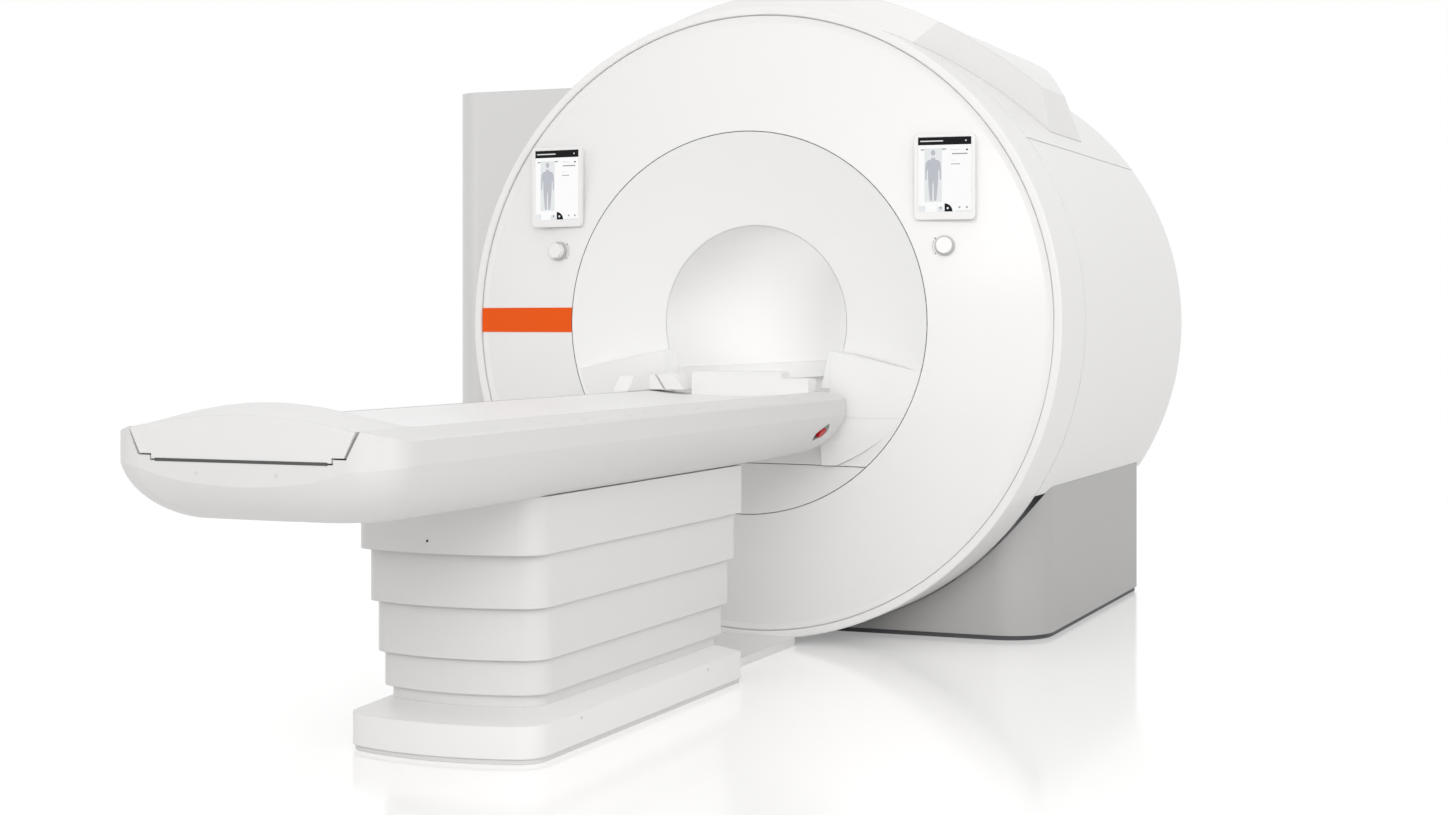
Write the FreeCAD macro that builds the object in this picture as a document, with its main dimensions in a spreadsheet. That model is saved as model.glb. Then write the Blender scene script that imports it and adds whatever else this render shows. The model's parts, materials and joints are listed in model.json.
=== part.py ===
"""MRI scanner: a round magnet housing with a short bore, and a patient table on a telescoping lift.

Millimetres. The origin is on the floor, under the bore axis, in the plane of the front rim.
+Y runs into the bore, +X is to the right of someone who faces the bore, and +Z is up.
"""

import FreeCAD, Part
import math
import os

import Sketcher

Vector = FreeCAD.Vector

DRIVING_SIZES = {
    # gantry housing
    "axis_height": 985,
    "cover_radius": 976,
    "cover_wall": 6,
    "seam_gap": 2,
    "side_seam_gap": 3,
    "drum_seam_gap": 0.8,
    "seam_angle": 54.4,
    "skirt_angle": 123,
    "drum_depth": 287,
    "housing_depth": 1863,
    "rear_edge_radius": 40,
    # front disc and rim
    "rim_radius": 974,
    "rim_face": 25,
    "rim_proud": 8,
    "rim_edge_radius": 6,
    "disc_wall": 5,
    "disc_root_wall": 6.25,
    "disc_flat": 20,
    "disc_rise": 75,
    "disc_crown_radius": 2300,
    "disc_lip": 20,
    "ledge_reach": 19,
    # funnel, bore and patient opening
    "funnel_radius": 584,
    "funnel_depth": 95,
    "funnel_curve_radius": 1500,
    "funnel_root_wall": 7,
    "funnel_flange": 12.5,
    "bore_radius": 300,
    "liner_wall": 6,
    "rear_flare_depth": 70,
    "rear_flare_reach": 95,
    "rear_flare_radius": 114,
    "rear_seam_angle": 0.1,
    "bed_ledge_height": 845,
    "bed_ledge_reach": 246,
    "channel_half_width": 274,
    "channel_top": 787,
    "channel_floor": 700,
    "panel_seam_height": 553,
    "shoulder_height": 901,
    "shoulder_inner": 270,
    "shoulder_slope": 0.21,
    "shoulder_recess": 23,
    # magnet and coils
    "vessel_radius": 900,
    "vessel_wall": 10,
    "vessel_front": 270,
    "vessel_rear_space": 200,
    "vessel_plate": 20,
    "warm_bore_radius": 505,
    "gradient_wall": 93,
    "gradient_margin": 110,
    "body_coil_wall": 14,
    "body_coil_margin": 195,
    "body_coil_angle": 224,
    "winding_radius": 640,
    "former_radius": 575,
    "former_wall": 15,
    "winding_width": 90,
    "frame_plate": 8,
    "stand_half_width": 520,
    "stand_plate": 60,
    # pedestal and service column
    "pedestal_half_width": 830,
    "pedestal_front": 320,
    "pedestal_rear_space": 108,
    "pedestal_corner_radius": 150,
    "pedestal_rear_radius": 30,
    "plinth_height": 14,
    "plinth_inset": 12,
    "column_outer_side": 1353,
    "column_width": 513,
    "column_front": 500,
    "column_depth": 600,
    "column_height": 1797,
    "column_corner_radius": 110,
    # top fairing
    "fairing_radius": 1068,
    "fairing_wall": 6,
    "fairing_half_width": 750,
    "fairing_front": 300,
    "fairing_front_lean": 20,
    "fairing_rear_space": 128,
    "fairing_rear_run": 276,
    "fairing_front_angle": 25.6,
    "fairing_flare_angle": 41,
    "fairing_flare_slope": 1.08,
    "fairing_taper_start": 1189,
    "fairing_taper_side": 4.2,
    "fairing_taper_up": 1.8,
    # controls on the disc
    "display_width": 185,
    "display_height": 255,
    "display_thickness": 11,
    "display_corner_radius": 14,
    "display_side": 638.5,
    "display_centre_height": 1415.5,
    "display_face_depth": 75,
    "display_turn": 4.3,
    "screen_width": 160,
    "screen_height": 220,
    "screen_shift": 6,
    "screen_glass": 1.2,
    "screen_recess": 1.5,
    "knob_radius": 24,
    "knob_height": 20,
    "knob_base_radius": 30,
    "knob_base_height": 7,
    "knob_spindle_radius": 6,
    "knob_side": 635.4,
    "knob_centre_height": 1211.5,
    "stripe_height": 78,
    "stripe_bottom": 955,
    "stripe_thickness": 1.2,
    # patient table
    "table_half_width": 335,
    "table_foot": -2665,
    "table_tail": -89,
    "table_corner_radius": 100,
    "rail_top": 779,
    "rail_outer_top": 763,
    "rail_bevel": 6,
    "crease_height": 710,
    "belly_height": 594,
    "belly_side_radius": 150,
    "belly_centre_half_width": 187.4,
    "belly_corner_radius": 100,
    "belly_nose_radius": 2200,
    "foot_chin": 666,
    "tail_curve_radius": 195,
    "tail_chin": 705,
    "tail_rise": 12,
    "tail_run": 630,
    "skin": 5,
    "tabletop_half_width": 265,
    "tabletop_top": 778,
    "tabletop_dish": 16,
    "tabletop_underside": 717,
    "tabletop_keel_half_width": 209,
    "tabletop_clearance": 3,
    "cap_crest_run": 145.75,
    "cap_length": 265,
    "cap_crown": 28,
    "cap_crest": 44,
    "rail_strip_width": 80,
    "rail_strip_inner": 110,
    "running_gap": 0.3,
    "head_block_left": 140,
    "head_block_right": 240,
    "head_block_height": 838,
    "head_block_depth": 62,
    "head_block_step": 155,
    "socket_height": 829,
    "socket_length": 235,
    "socket_ramp": 45,
    "socket_block_depth": 85,
    "socket_inner_side": 152,
    "socket_outer_side": 318,
    "socket_slot_width": 6,
    "socket_slot_side": 212,
    "socket_lean": 32,
    # emergency stop on both flanks of the table
    "stop_station": -252,
    "stop_height": 663.5,
    "stop_slant": 19,
    "stop_pocket_length": 102,
    "stop_pocket_height": 34,
    "stop_pocket_depth": 14,
    "stop_wall": 3,
    "stop_button_length": 44,
    "stop_button_height": 24,
    "stop_button_thickness": 12,
    "stop_travel": 5,
    "stop_stem_radius": 6,
    # lift
    "lift_travel": 280,
    "tier_wall": 5,
    "tier_one_half_width": 242,
    "tier_step": 9,
    "tier_one_front": -1926,
    "tier_one_rear": -675,
    "tier_two_front": -1896,
    "tier_three_front": -1876,
    "tier_four_front": -1861,
    "tier_two_rear": -709,
    "tier_three_rear": -732,
    "tier_four_rear": -756,
    "tier_bow": 50,
    "tier_corner_radius": 70,
    "tier_rear_radius": 12,
    "tier_one_bottom": 463,
    "tier_two_bottom": 340,
    "tier_three_bottom": 220,
    "tier_four_bottom": 139,
    "tier_two_top": 494,
    "tier_three_top": 385,
    "tier_four_top": 262,
    "lift_post_side": 220,
    "lift_post_step": 5,
    "table_beam_half_width": 132,
    "lift_post_wall": 8,
    "lift_post_gap": 0.4,
    "lift_post_front": -1620,
    "lift_post_rear": -1020,
    "base_half_width": 249,
    "base_front": -1949,
    "base_rear": -695,
    "base_plate": 12,
    "base_wall_top": 86,
    "base_height": 110,
    "anchor_across": 380,
    "anchor_along": 1080,
    "anchor_hole_radius": 9,
    "floor_link_half_width": 148,
    "floor_link_height": 24,
    "floor_link_radius": 15,
}

# where the windings lie, as shares of the vessel's length from its middle
WINDING_SHARES = (-0.44, -0.25, -0.08, 0.08, 0.25, 0.44)
# the levels of the belly's sections, as shares of its height
BELLY_SHARES = (0, 0.08, 0.25, 0.5, 0.78, 1)

doc = FreeCAD.newDocument("mri_scanner")
sheet = doc.addObject("Spreadsheet::Sheet", "Sizes")
for row, (alias, number) in enumerate(DRIVING_SIZES.items(), start=1):
    sheet.set("A%d" % row, alias)
    sheet.set("B%d" % row, str(number))
    sheet.setAlias("B%d" % row, alias)
doc.recompute()


class Size:
    """A number that keeps the sheet expression it comes from."""

    def __init__(self, text, value):
        self.text = text
        self.value = float(value)

    def combined(self, sign, other, value, swap=False):
        first, second = (size(other), self) if swap else (self, size(other))
        return Size("(%s %s %s)" % (first.text, sign, second.text), value)

    def __add__(self, other):
        return self.combined("+", other, self.value + size(other).value)

    def __radd__(self, other):
        return self.combined("+", other, self.value + size(other).value, swap=True)

    def __sub__(self, other):
        return self.combined("-", other, self.value - size(other).value)

    def __rsub__(self, other):
        return self.combined("-", other, size(other).value - self.value, swap=True)

    def __mul__(self, other):
        return self.combined("*", other, self.value * size(other).value)

    def __rmul__(self, other):
        return self.combined("*", other, self.value * size(other).value, swap=True)

    def __truediv__(self, other):
        return self.combined("/", other, self.value / size(other).value)

    def __neg__(self):
        return Size("(0 - %s)" % self.text, -self.value)

    def __float__(self):
        return self.value


def size(number):
    if isinstance(number, Size):
        return number
    return Size("%.9g" % number, number)


def root(number):
    return Size("sqrt(%s)" % number.text, math.sqrt(number.value))


class Sheet:
    """The cells of the sheet as sizes: dim.bore_radius."""


dim = Sheet()
for alias in DRIVING_SIZES:
    setattr(dim, alias, Size("Sizes.%s" % alias, sheet.get(alias)))

nodes = {}


def node(name, shape_object):
    """Names a finished sub-part."""
    shape_object.Label = name
    nodes[name] = shape_object
    return shape_object


# ---------------------------------------------------------------- sketches and solids


def corner_point(corner):
    return Vector(float(corner[0]), float(corner[1]), 0)


def arc_edge(start, end, radius, turn):
    """The short arc from start to end; turn is 1 anticlockwise and -1 clockwise."""
    chord = end - start
    middle = (start + end) * 0.5
    reach = math.sqrt(max(radius * radius - chord.Length * chord.Length / 4, 0.0))
    left = Vector(-chord.y, chord.x, 0).normalize()
    centre = middle + left * reach * turn
    first, last = (start, end) if turn > 0 else (end, start)
    begin = math.atan2(first.y - centre.y, first.x - centre.x)
    finish = math.atan2(last.y - centre.y, last.x - centre.x)
    if finish < begin:
        finish += 2 * math.pi
    return Part.ArcOfCircle(Part.Circle(centre, Vector(0, 0, 1), radius), begin, finish)


def bind_point(sketch, edge, end, corner):
    """Holds one end of an edge at its distances from the sketch origin."""
    for kind, axis, value in (("DistanceX", -2, corner[0]), ("DistanceY", -1, corner[1])):
        value = size(value)
        if value.value == 0:
            sketch.addConstraint(Sketcher.Constraint("PointOnObject", edge, end, axis))
            continue
        index = sketch.addConstraint(Sketcher.Constraint(kind, -1, 1, edge, end, value.value))
        if "Sizes" in value.text:
            sketch.setExpression("Constraints[%d]" % index, value.text)


def add_outline(sketch, corners):
    """Draws a closed outline. A corner is (u, v), or (u, v, radius, turn) where an arc leads to it."""
    first = sketch.GeometryCount
    count = len(corners)
    ends = []
    for index in range(count):
        start = corner_point(corners[index])
        target = corners[(index + 1) % count]
        end = corner_point(target)
        if len(target) == 2:
            sketch.addGeometry(Part.LineSegment(start, end), False)
            ends.append((1, 2))
        else:
            sketch.addGeometry(arc_edge(start, end, float(target[2]), target[3]), False)
            ends.append((1, 2) if target[3] > 0 else (2, 1))
    for index in range(count):
        following = (index + 1) % count
        sketch.addConstraint(Sketcher.Constraint(
            "Coincident", first + index, ends[index][1], first + following, ends[following][0]))
        bind_point(sketch, first + index, ends[index][0], corners[index])
    for index in range(count):
        target = corners[(index + 1) % count]
        if len(target) > 2:
            radius = size(target[2])
            mark = sketch.addConstraint(Sketcher.Constraint("Radius", first + index, radius.value))
            if "Sizes" in radius.text:
                sketch.setExpression("Constraints[%d]" % mark, radius.text)


def add_circle(sketch, across, along, radius):
    edge = sketch.addGeometry(
        Part.Circle(Vector(float(across), float(along), 0), Vector(0, 0, 1), float(radius)), False)
    bind_point(sketch, edge, 3, (across, along))
    mark = sketch.addConstraint(Sketcher.Constraint("Radius", edge, float(radius)))
    sketch.setExpression("Constraints[%d]" % mark, size(radius).text)


def sketched_body(name, role, outlines):
    body = doc.addObject("PartDesign::Body", name)
    plane = [item for item in body.Origin.OriginFeatures if item.Role == role][0]
    sketch = body.newObject("Sketcher::SketchObject", name + "_sketch")
    sketch.AttachmentSupport = (plane, [""])
    sketch.MapMode = "FlatFace"
    for outline in outlines:
        if outline[0] == "circle":
            add_circle(sketch, *outline[1:])
        else:
            add_outline(sketch, outline)
    return body, sketch


def bind_base(body, **places):
    for axis, place in places.items():
        setattr(body.Placement.Base, axis, float(place))
        body.setExpression("Placement.Base." + axis, size(place).text)


def pad(name, role, outlines, start, length, taper=None):
    """A prism from start, along +Y on XZ_Plane, +Z on XY_Plane and +X on YZ_Plane."""
    body, sketch = sketched_body(name, role, outlines)
    prism = body.newObject("PartDesign::Pad", name + "_pad")
    prism.Profile = sketch
    prism.Length = float(length)
    prism.setExpression("Length", size(length).text)
    prism.Reversed = role == "XZ_Plane"
    if taper is not None:
        prism.TaperAngle = -float(taper)
        prism.setExpression("TaperAngle", (-taper).text)
    sketch.Visibility = False
    bind_base(body, **{{"XZ_Plane": "y", "XY_Plane": "z", "YZ_Plane": "x"}[role]: start})
    return body


def lofted(name, sections):
    """A smooth solid through level outlines, each given as (height, outline)."""
    body = doc.addObject("PartDesign::Body", name)
    plane = [item for item in body.Origin.OriginFeatures if item.Role == "XY_Plane"][0]
    sketches = []
    for index, (height, outline) in enumerate(sections):
        sketch = body.newObject("Sketcher::SketchObject", "%s_sketch_%d" % (name, index))
        sketch.AttachmentSupport = (plane, [""])
        sketch.MapMode = "FlatFace"
        sketch.AttachmentOffset.Base.z = float(height)
        sketch.setExpression("AttachmentOffset.Base.z", size(height).text)
        add_outline(sketch, outline)
        sketch.Visibility = False
        sketches.append(sketch)
    loft = body.newObject("PartDesign::AdditiveLoft", name + "_loft")
    loft.Profile = sketches[0]
    loft.Sections = sketches[1:]
    return body


def turned(name, outline, angle=None, lean=0):
    """A profile of (y, radius) turned round the bore axis, over an angle centred on lean from the top."""
    body, sketch = sketched_body(name, "YZ_Plane", [outline])
    turn = body.newObject("PartDesign::Revolution", name + "_turn")
    turn.Profile = sketch
    turn.ReferenceAxis = (sketch, ["H_Axis"])
    turn.Angle = 360
    if angle is not None:
        turn.Midplane = True
        turn.Angle = float(angle)
        turn.setExpression("Angle", size(angle).text)
    body.Placement = FreeCAD.Placement(
        Vector(0, 0, float(dim.axis_height)), FreeCAD.Rotation(Vector(0, 1, 0), float(lean)))
    body.setExpression("Placement.Base.z", dim.axis_height.text)
    return body


def rectangle(left, right, low, high):
    return [(left, low), (right, low), (right, high), (left, high)]


def rounded(left, right, low, high, radius):
    return [
        (left + radius, low, radius, 1), (right - radius, low),
        (right, low + radius, radius, 1), (right, high - radius),
        (right - radius, high, radius, 1), (left + radius, high),
        (left, high - radius, radius, 1), (left, low + radius),
    ]


def slot(centre_u, centre_v, length, height, slant):
    """A slanted oval with round ends: slant is the angle of its long axis in degrees."""
    radius = height / 2
    reach = (length - height) / 2
    cosine = math.cos(math.radians(float(slant)))
    sine = math.sin(math.radians(float(slant)))
    ahead_u, ahead_v = reach * cosine, reach * sine
    side_u, side_v = radius * (-sine), radius * cosine
    tip_u, tip_v = (reach + radius) * cosine, (reach + radius) * sine
    return [
        (centre_u - ahead_u - side_u, centre_v - ahead_v - side_v, radius, 1),
        (centre_u + ahead_u - side_u, centre_v + ahead_v - side_v),
        (centre_u + tip_u, centre_v + tip_v, radius, 1),
        (centre_u + ahead_u + side_u, centre_v + ahead_v + side_v, radius, 1),
        (centre_u - ahead_u + side_u, centre_v - ahead_v + side_v),
        (centre_u - tip_u, centre_v - tip_v, radius, 1),
    ]


def cut(name, base, *tools):
    result = base
    for index, tool in enumerate(tools):
        step = doc.addObject("Part::Cut", "%s_cut%d" % (name, index))
        step.Base, step.Tool = result, tool
        result = step
    return result


def common(name, first, second):
    shared = doc.addObject("Part::Common", name + "_common")
    shared.Base, shared.Tool = first, second
    return shared


def fuse(name, *pieces):
    joined = doc.addObject("Part::MultiFuse", name + "_fuse")
    joined.Shapes = list(pieces)
    return joined


def mirrored(name, source):
    """The same piece on the other side of the middle plane x = 0."""
    mirror = doc.addObject("Part::Mirroring", name + "_mirror")
    mirror.Source = source
    mirror.Normal = Vector(1, 0, 0)
    mirror.Base = Vector(0, 0, 0)
    return mirror


def box(name, left, right, front, rear, low, high):
    block = doc.addObject("Part::Box", name)
    for key, start, end in (("Length", left, right), ("Width", front, rear), ("Height", low, high)):
        span = size(end) - size(start)
        setattr(block, key, float(span))
        block.setExpression(key, span.text)
    for axis, start in (("x", left), ("y", front), ("z", low)):
        block.setExpression("Placement.Base." + axis, size(start).text)
    return block


def drum_bulk(name, radius):
    """A long solid cylinder round the bore axis."""
    bulk = doc.addObject("Part::Cylinder", name)
    bulk.setExpression("Radius", radius.text)
    bulk.setExpression("Height", (dim.housing_depth * 2).text)
    bulk.Placement = FreeCAD.Placement(Vector(0, 0, 0), FreeCAD.Rotation(Vector(1, 0, 0), -90))
    bulk.setExpression("Placement.Base.z", dim.axis_height.text)
    return bulk


def tube(name, outer, inner, start, length):
    """A straight ring round the bore axis."""
    return turned(name, [
        (start, inner), (start, outer), (start + length, outer), (start + length, inner)])


# ---------------------------------------------------------------- shared places

disc_radius = dim.rim_radius - dim.rim_face - dim.seam_gap
disc_flat_radius = disc_radius - dim.disc_flat
disc_inner_radius = dim.funnel_radius + dim.seam_gap
cover_inner = dim.cover_radius - dim.cover_wall
bore_front = dim.funnel_depth - dim.disc_rise
bore_rear = dim.housing_depth - dim.rear_flare_depth
bore_length = bore_rear - bore_front
vessel_rear = dim.housing_depth - dim.vessel_rear_space
vessel_length = vessel_rear - dim.vessel_front
frame_front = dim.drum_depth
frame_rear = vessel_rear - dim.vessel_plate


def disc_surface(radius):
    """The depth and the slope dy/dr of the front disc at a radius."""
    start = Vector(0, float(disc_flat_radius), 0)
    end = Vector(-float(dim.disc_rise), float(disc_inner_radius), 0)
    crown = float(dim.disc_crown_radius)
    chord = end - start
    left = Vector(-chord.y, chord.x, 0).normalize()
    centre = (start + end) * 0.5 + left * math.sqrt(crown * crown - chord.Length ** 2 / 4)
    offset = radius - centre.y
    depth = centre.x - math.sqrt(crown * crown - offset * offset)
    return depth, offset / (centre.x - depth)


def disc_place(side, height):
    """A placement on the disc: its Z points out of the surface and its Y is as upright as that allows."""
    rise = height - float(dim.axis_height)
    radius = math.hypot(side, rise)
    depth, slope = disc_surface(radius)
    outward = Vector(slope * side / radius, -1, slope * rise / radius).normalize()
    across = Vector(0, 0, 1).cross(outward).normalize()
    upright = outward.cross(across)
    turn = FreeCAD.Rotation(across, upright, outward, "ZXY")
    return FreeCAD.Placement(Vector(side, depth, height), turn)


# ---------------------------------------------------------------- gantry front


def build_front():
    disc_back = dim.disc_wall
    lip_end = dim.disc_lip - dim.disc_rise
    front_cover = node("front_cover", turned("front_disc", [
        (0, disc_radius),
        (0, disc_flat_radius),
        (-dim.disc_rise, disc_inner_radius, dim.disc_crown_radius, 1),
        (lip_end, disc_inner_radius),
        (lip_end, disc_inner_radius + dim.disc_wall),
        (dim.disc_root_wall - dim.disc_rise, disc_inner_radius + dim.disc_wall),
        (disc_back, disc_flat_radius, dim.disc_crown_radius, -1),
        (disc_back, disc_radius),
    ]))

    lip_radius = dim.rim_radius - dim.rim_face
    drum_inner = dim.rim_radius - dim.cover_wall
    edge = dim.rim_edge_radius
    node("front_rim", turned("front_drum", [
        (-dim.rim_proud, lip_radius + edge / 2, edge / 2, -1),
        (-dim.rim_proud, dim.rim_radius - edge),
        (edge - dim.rim_proud, dim.rim_radius, edge, -1),
        (dim.drum_depth, dim.rim_radius),
        (dim.drum_depth, drum_inner),
        (disc_back * 2, drum_inner),
        (disc_back * 2, lip_radius - dim.ledge_reach),
        (disc_back, lip_radius - dim.ledge_reach),
        (disc_back, lip_radius),
        (edge / 2 - dim.rim_proud, lip_radius),
    ]))

    stripe_skin = turned("stripe_skin", [
        (0, disc_radius),
        (-dim.stripe_thickness, disc_radius),
        (-dim.stripe_thickness, disc_flat_radius),
        (-dim.disc_rise - dim.stripe_thickness, disc_inner_radius, dim.disc_crown_radius, 1),
        (-dim.disc_rise, disc_inner_radius),
        (0, disc_flat_radius, dim.disc_crown_radius, -1),
    ])
    stripe_band = box("stripe_band", -dim.rim_radius, 0, -dim.disc_rise * 2, dim.disc_wall,
                      dim.stripe_bottom, dim.stripe_bottom + dim.stripe_height)
    node("accent_stripe", cut("stripe", common("stripe", stripe_skin, stripe_band), front_cover))


def funnel_profile():
    """The funnel wall from the seam circle in to the bore, with its flange behind the disc."""
    wall = dim.disc_wall
    lip_end = dim.disc_lip - dim.disc_rise
    return [
        (-dim.disc_rise, dim.funnel_radius),
        (bore_front, dim.bore_radius, dim.funnel_curve_radius, -1),
        (bore_front, dim.bore_radius + dim.liner_wall),
        (dim.funnel_root_wall - dim.disc_rise, dim.funnel_radius - wall,
         dim.funnel_curve_radius, 1),
        (lip_end + wall, dim.funnel_radius - wall),
        (lip_end + wall, disc_inner_radius + dim.funnel_flange),
        (lip_end, disc_inner_radius + dim.funnel_flange),
        (lip_end, dim.funnel_radius),
    ]


def below_shoulders(name):
    """The region under the two shoulders that stand beside the tabletop."""
    far = dim.rim_radius
    drop = dim.shoulder_slope * (far - dim.shoulder_inner)
    return pad(name, "XZ_Plane", [[
        (-far, dim.panel_seam_height - far), (far, dim.panel_seam_height - far),
        (far, dim.shoulder_height - drop), (dim.shoulder_inner, dim.shoulder_height),
        (-dim.shoulder_inner, dim.shoulder_height), (-far, dim.shoulder_height - drop),
    ]], -dim.disc_rise * 2, dim.disc_rise * 4)


def build_funnel():
    funnel = turned("funnel", funnel_profile())
    node("front_funnel", cut("upper_funnel", funnel, below_shoulders("shoulder_zone")))

    half_gap = dim.seam_gap / 2
    far = dim.rim_radius
    under_seam = box("under_seam", -far, far, -dim.disc_rise * 2, dim.disc_rise * 2,
                     dim.panel_seam_height - far, dim.panel_seam_height - half_gap)
    node("lower_panel", common("lower_funnel", turned("funnel_low", funnel_profile()), under_seam))

    over_seam = cut("middle_zone", below_shoulders("middle_block"), box(
        "seam_block", -far * 2, far * 2, -dim.disc_rise * 3, dim.disc_rise * 3,
        dim.panel_seam_height - far * 2, dim.panel_seam_height + half_gap))
    middle = common("middle_funnel", turned("funnel_middle", funnel_profile()), over_seam)

    shoulder_ring = turned("shoulder_ring", [
        (dim.disc_wall / 2 - dim.disc_rise, dim.funnel_radius - dim.seam_gap / 2),
        (dim.shoulder_recess - dim.disc_rise, dim.bed_ledge_reach),
        (bore_front, dim.bed_ledge_reach),
        (bore_front, dim.bore_radius + dim.seam_gap),
    ])
    drop = dim.shoulder_slope * (dim.funnel_radius - dim.shoulder_inner)
    shoulder_side = pad("shoulder_side", "XZ_Plane", [[
        (dim.bed_ledge_reach, dim.panel_seam_height + half_gap),
        (dim.funnel_radius, dim.panel_seam_height + half_gap),
        (dim.funnel_radius, dim.shoulder_height - drop),
        (dim.shoulder_inner, dim.shoulder_height),
        (dim.bed_ledge_reach, dim.channel_top),
    ]], -dim.disc_rise * 2, dim.disc_rise * 4)
    # the shoulder's face curves back to the funnel under the height of the table
    relief_rise = dim.channel_top - dim.panel_seam_height
    relief_depth = dim.shoulder_recess
    relief_radius = (relief_rise * relief_rise + relief_depth * relief_depth) / (relief_depth * 2)
    relief = pad("shoulder_relief", "YZ_Plane", [[
        (-dim.disc_rise * 2, dim.panel_seam_height),
        (relief_depth - dim.disc_rise, dim.panel_seam_height),
        (-dim.disc_rise, dim.channel_top, relief_radius, -1),
        (-dim.disc_rise * 2, dim.channel_top),
    ]], -dim.rim_radius, dim.rim_radius * 2)
    right = cut("right_shoulder", common("shoulder", shoulder_ring, shoulder_side), relief)
    channel = box("front_channel", -dim.channel_half_width, dim.channel_half_width,
                  -dim.disc_rise * 2, dim.disc_rise, dim.channel_floor, dim.channel_top)
    # the apron under the channel, the two shoulders and their inner trims meet at fine joints
    joint = dim.running_gap
    apron_joint = box("apron_joint", -far, far, -dim.disc_rise * 2, dim.disc_rise,
                      dim.channel_floor - joint, dim.channel_floor)
    trim_joint = box("trim_joint", dim.channel_half_width, dim.channel_half_width + joint,
                     -dim.disc_rise * 2, dim.disc_rise, dim.channel_top, dim.axis_height)
    node("table_surround", cut(
        "surround", fuse("surround", middle, right, mirrored("left_shoulder", right)),
        channel, apron_joint, trim_joint, mirrored("trim_joint", trim_joint)))


# ---------------------------------------------------------------- bore and coils


def build_bore():
    wall = dim.liner_wall
    height = dim.axis_height
    inner_radius = dim.bore_radius
    outer_radius = dim.bore_radius + wall
    ledge_top = dim.bed_ledge_height
    drop = height - ledge_top
    inner_side = root(inner_radius * inner_radius - drop * drop)
    outer_side = root(outer_radius * outer_radius - drop * drop)
    node("bore_liner", pad("liner", "XZ_Plane", [[
        (inner_side, ledge_top, inner_radius, -1), (outer_side, ledge_top),
        (outer_radius, height, outer_radius, 1),
        (0, height + outer_radius, outer_radius, 1),
        (-outer_radius, height, outer_radius, 1),
        (-outer_side, ledge_top, outer_radius, 1), (-inner_side, ledge_top),
        (-inner_radius, height, inner_radius, -1),
        (0, height + inner_radius, inner_radius, -1),
        (inner_radius, height, inner_radius, -1),
    ]], bore_front, bore_length))

    side = dim.channel_half_width
    bed_low = dim.channel_floor - wall
    ledge = pad("ledge", "XZ_Plane", [[
        (dim.bed_ledge_reach, dim.channel_top), (side + wall, dim.channel_top),
        (side + wall, ledge_top - wall * 2), (outer_side, ledge_top),
        (dim.bed_ledge_reach, ledge_top),
    ]], bore_front, bore_length)
    # each ledge lies on a side plate that stands beside the bed
    plate = box("ledge_plate", side, side + wall, bore_front, bore_rear,
                bed_low, dim.channel_top - dim.running_gap)
    node("bed_ledges", fuse("bed_ledges", ledge, mirrored("ledge", ledge),
                            plate, mirrored("ledge_plate", plate)))

    strip_top = dim.tabletop_underside - dim.running_gap
    near = dim.rail_strip_inner
    far = near + dim.rail_strip_width
    strip = box("bore_strip", near, far, bore_front, bore_rear, dim.channel_floor, strip_top)
    bed = box("bore_bed", -side, side, bore_front, bore_rear, bed_low, dim.channel_floor)
    node("bore_rails", fuse("bore_rails", bed, strip, mirrored("bore_strip", strip)))

    body_coil_outer = outer_radius + dim.body_coil_wall
    coil_start = dim.vessel_front + dim.body_coil_margin
    coil_end = vessel_rear - dim.body_coil_margin
    node("body_coil", turned("rf_coil", [
        (coil_start, outer_radius), (coil_start, body_coil_outer),
        (coil_end, body_coil_outer), (coil_end, outer_radius),
    ], dim.body_coil_angle))
    node("gradient_coil", tube(
        "gradient", dim.warm_bore_radius, dim.warm_bore_radius - dim.gradient_wall,
        dim.vessel_front + dim.gradient_margin, vessel_length - dim.gradient_margin * 2))


# ---------------------------------------------------------------- magnet, frame and stand


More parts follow.
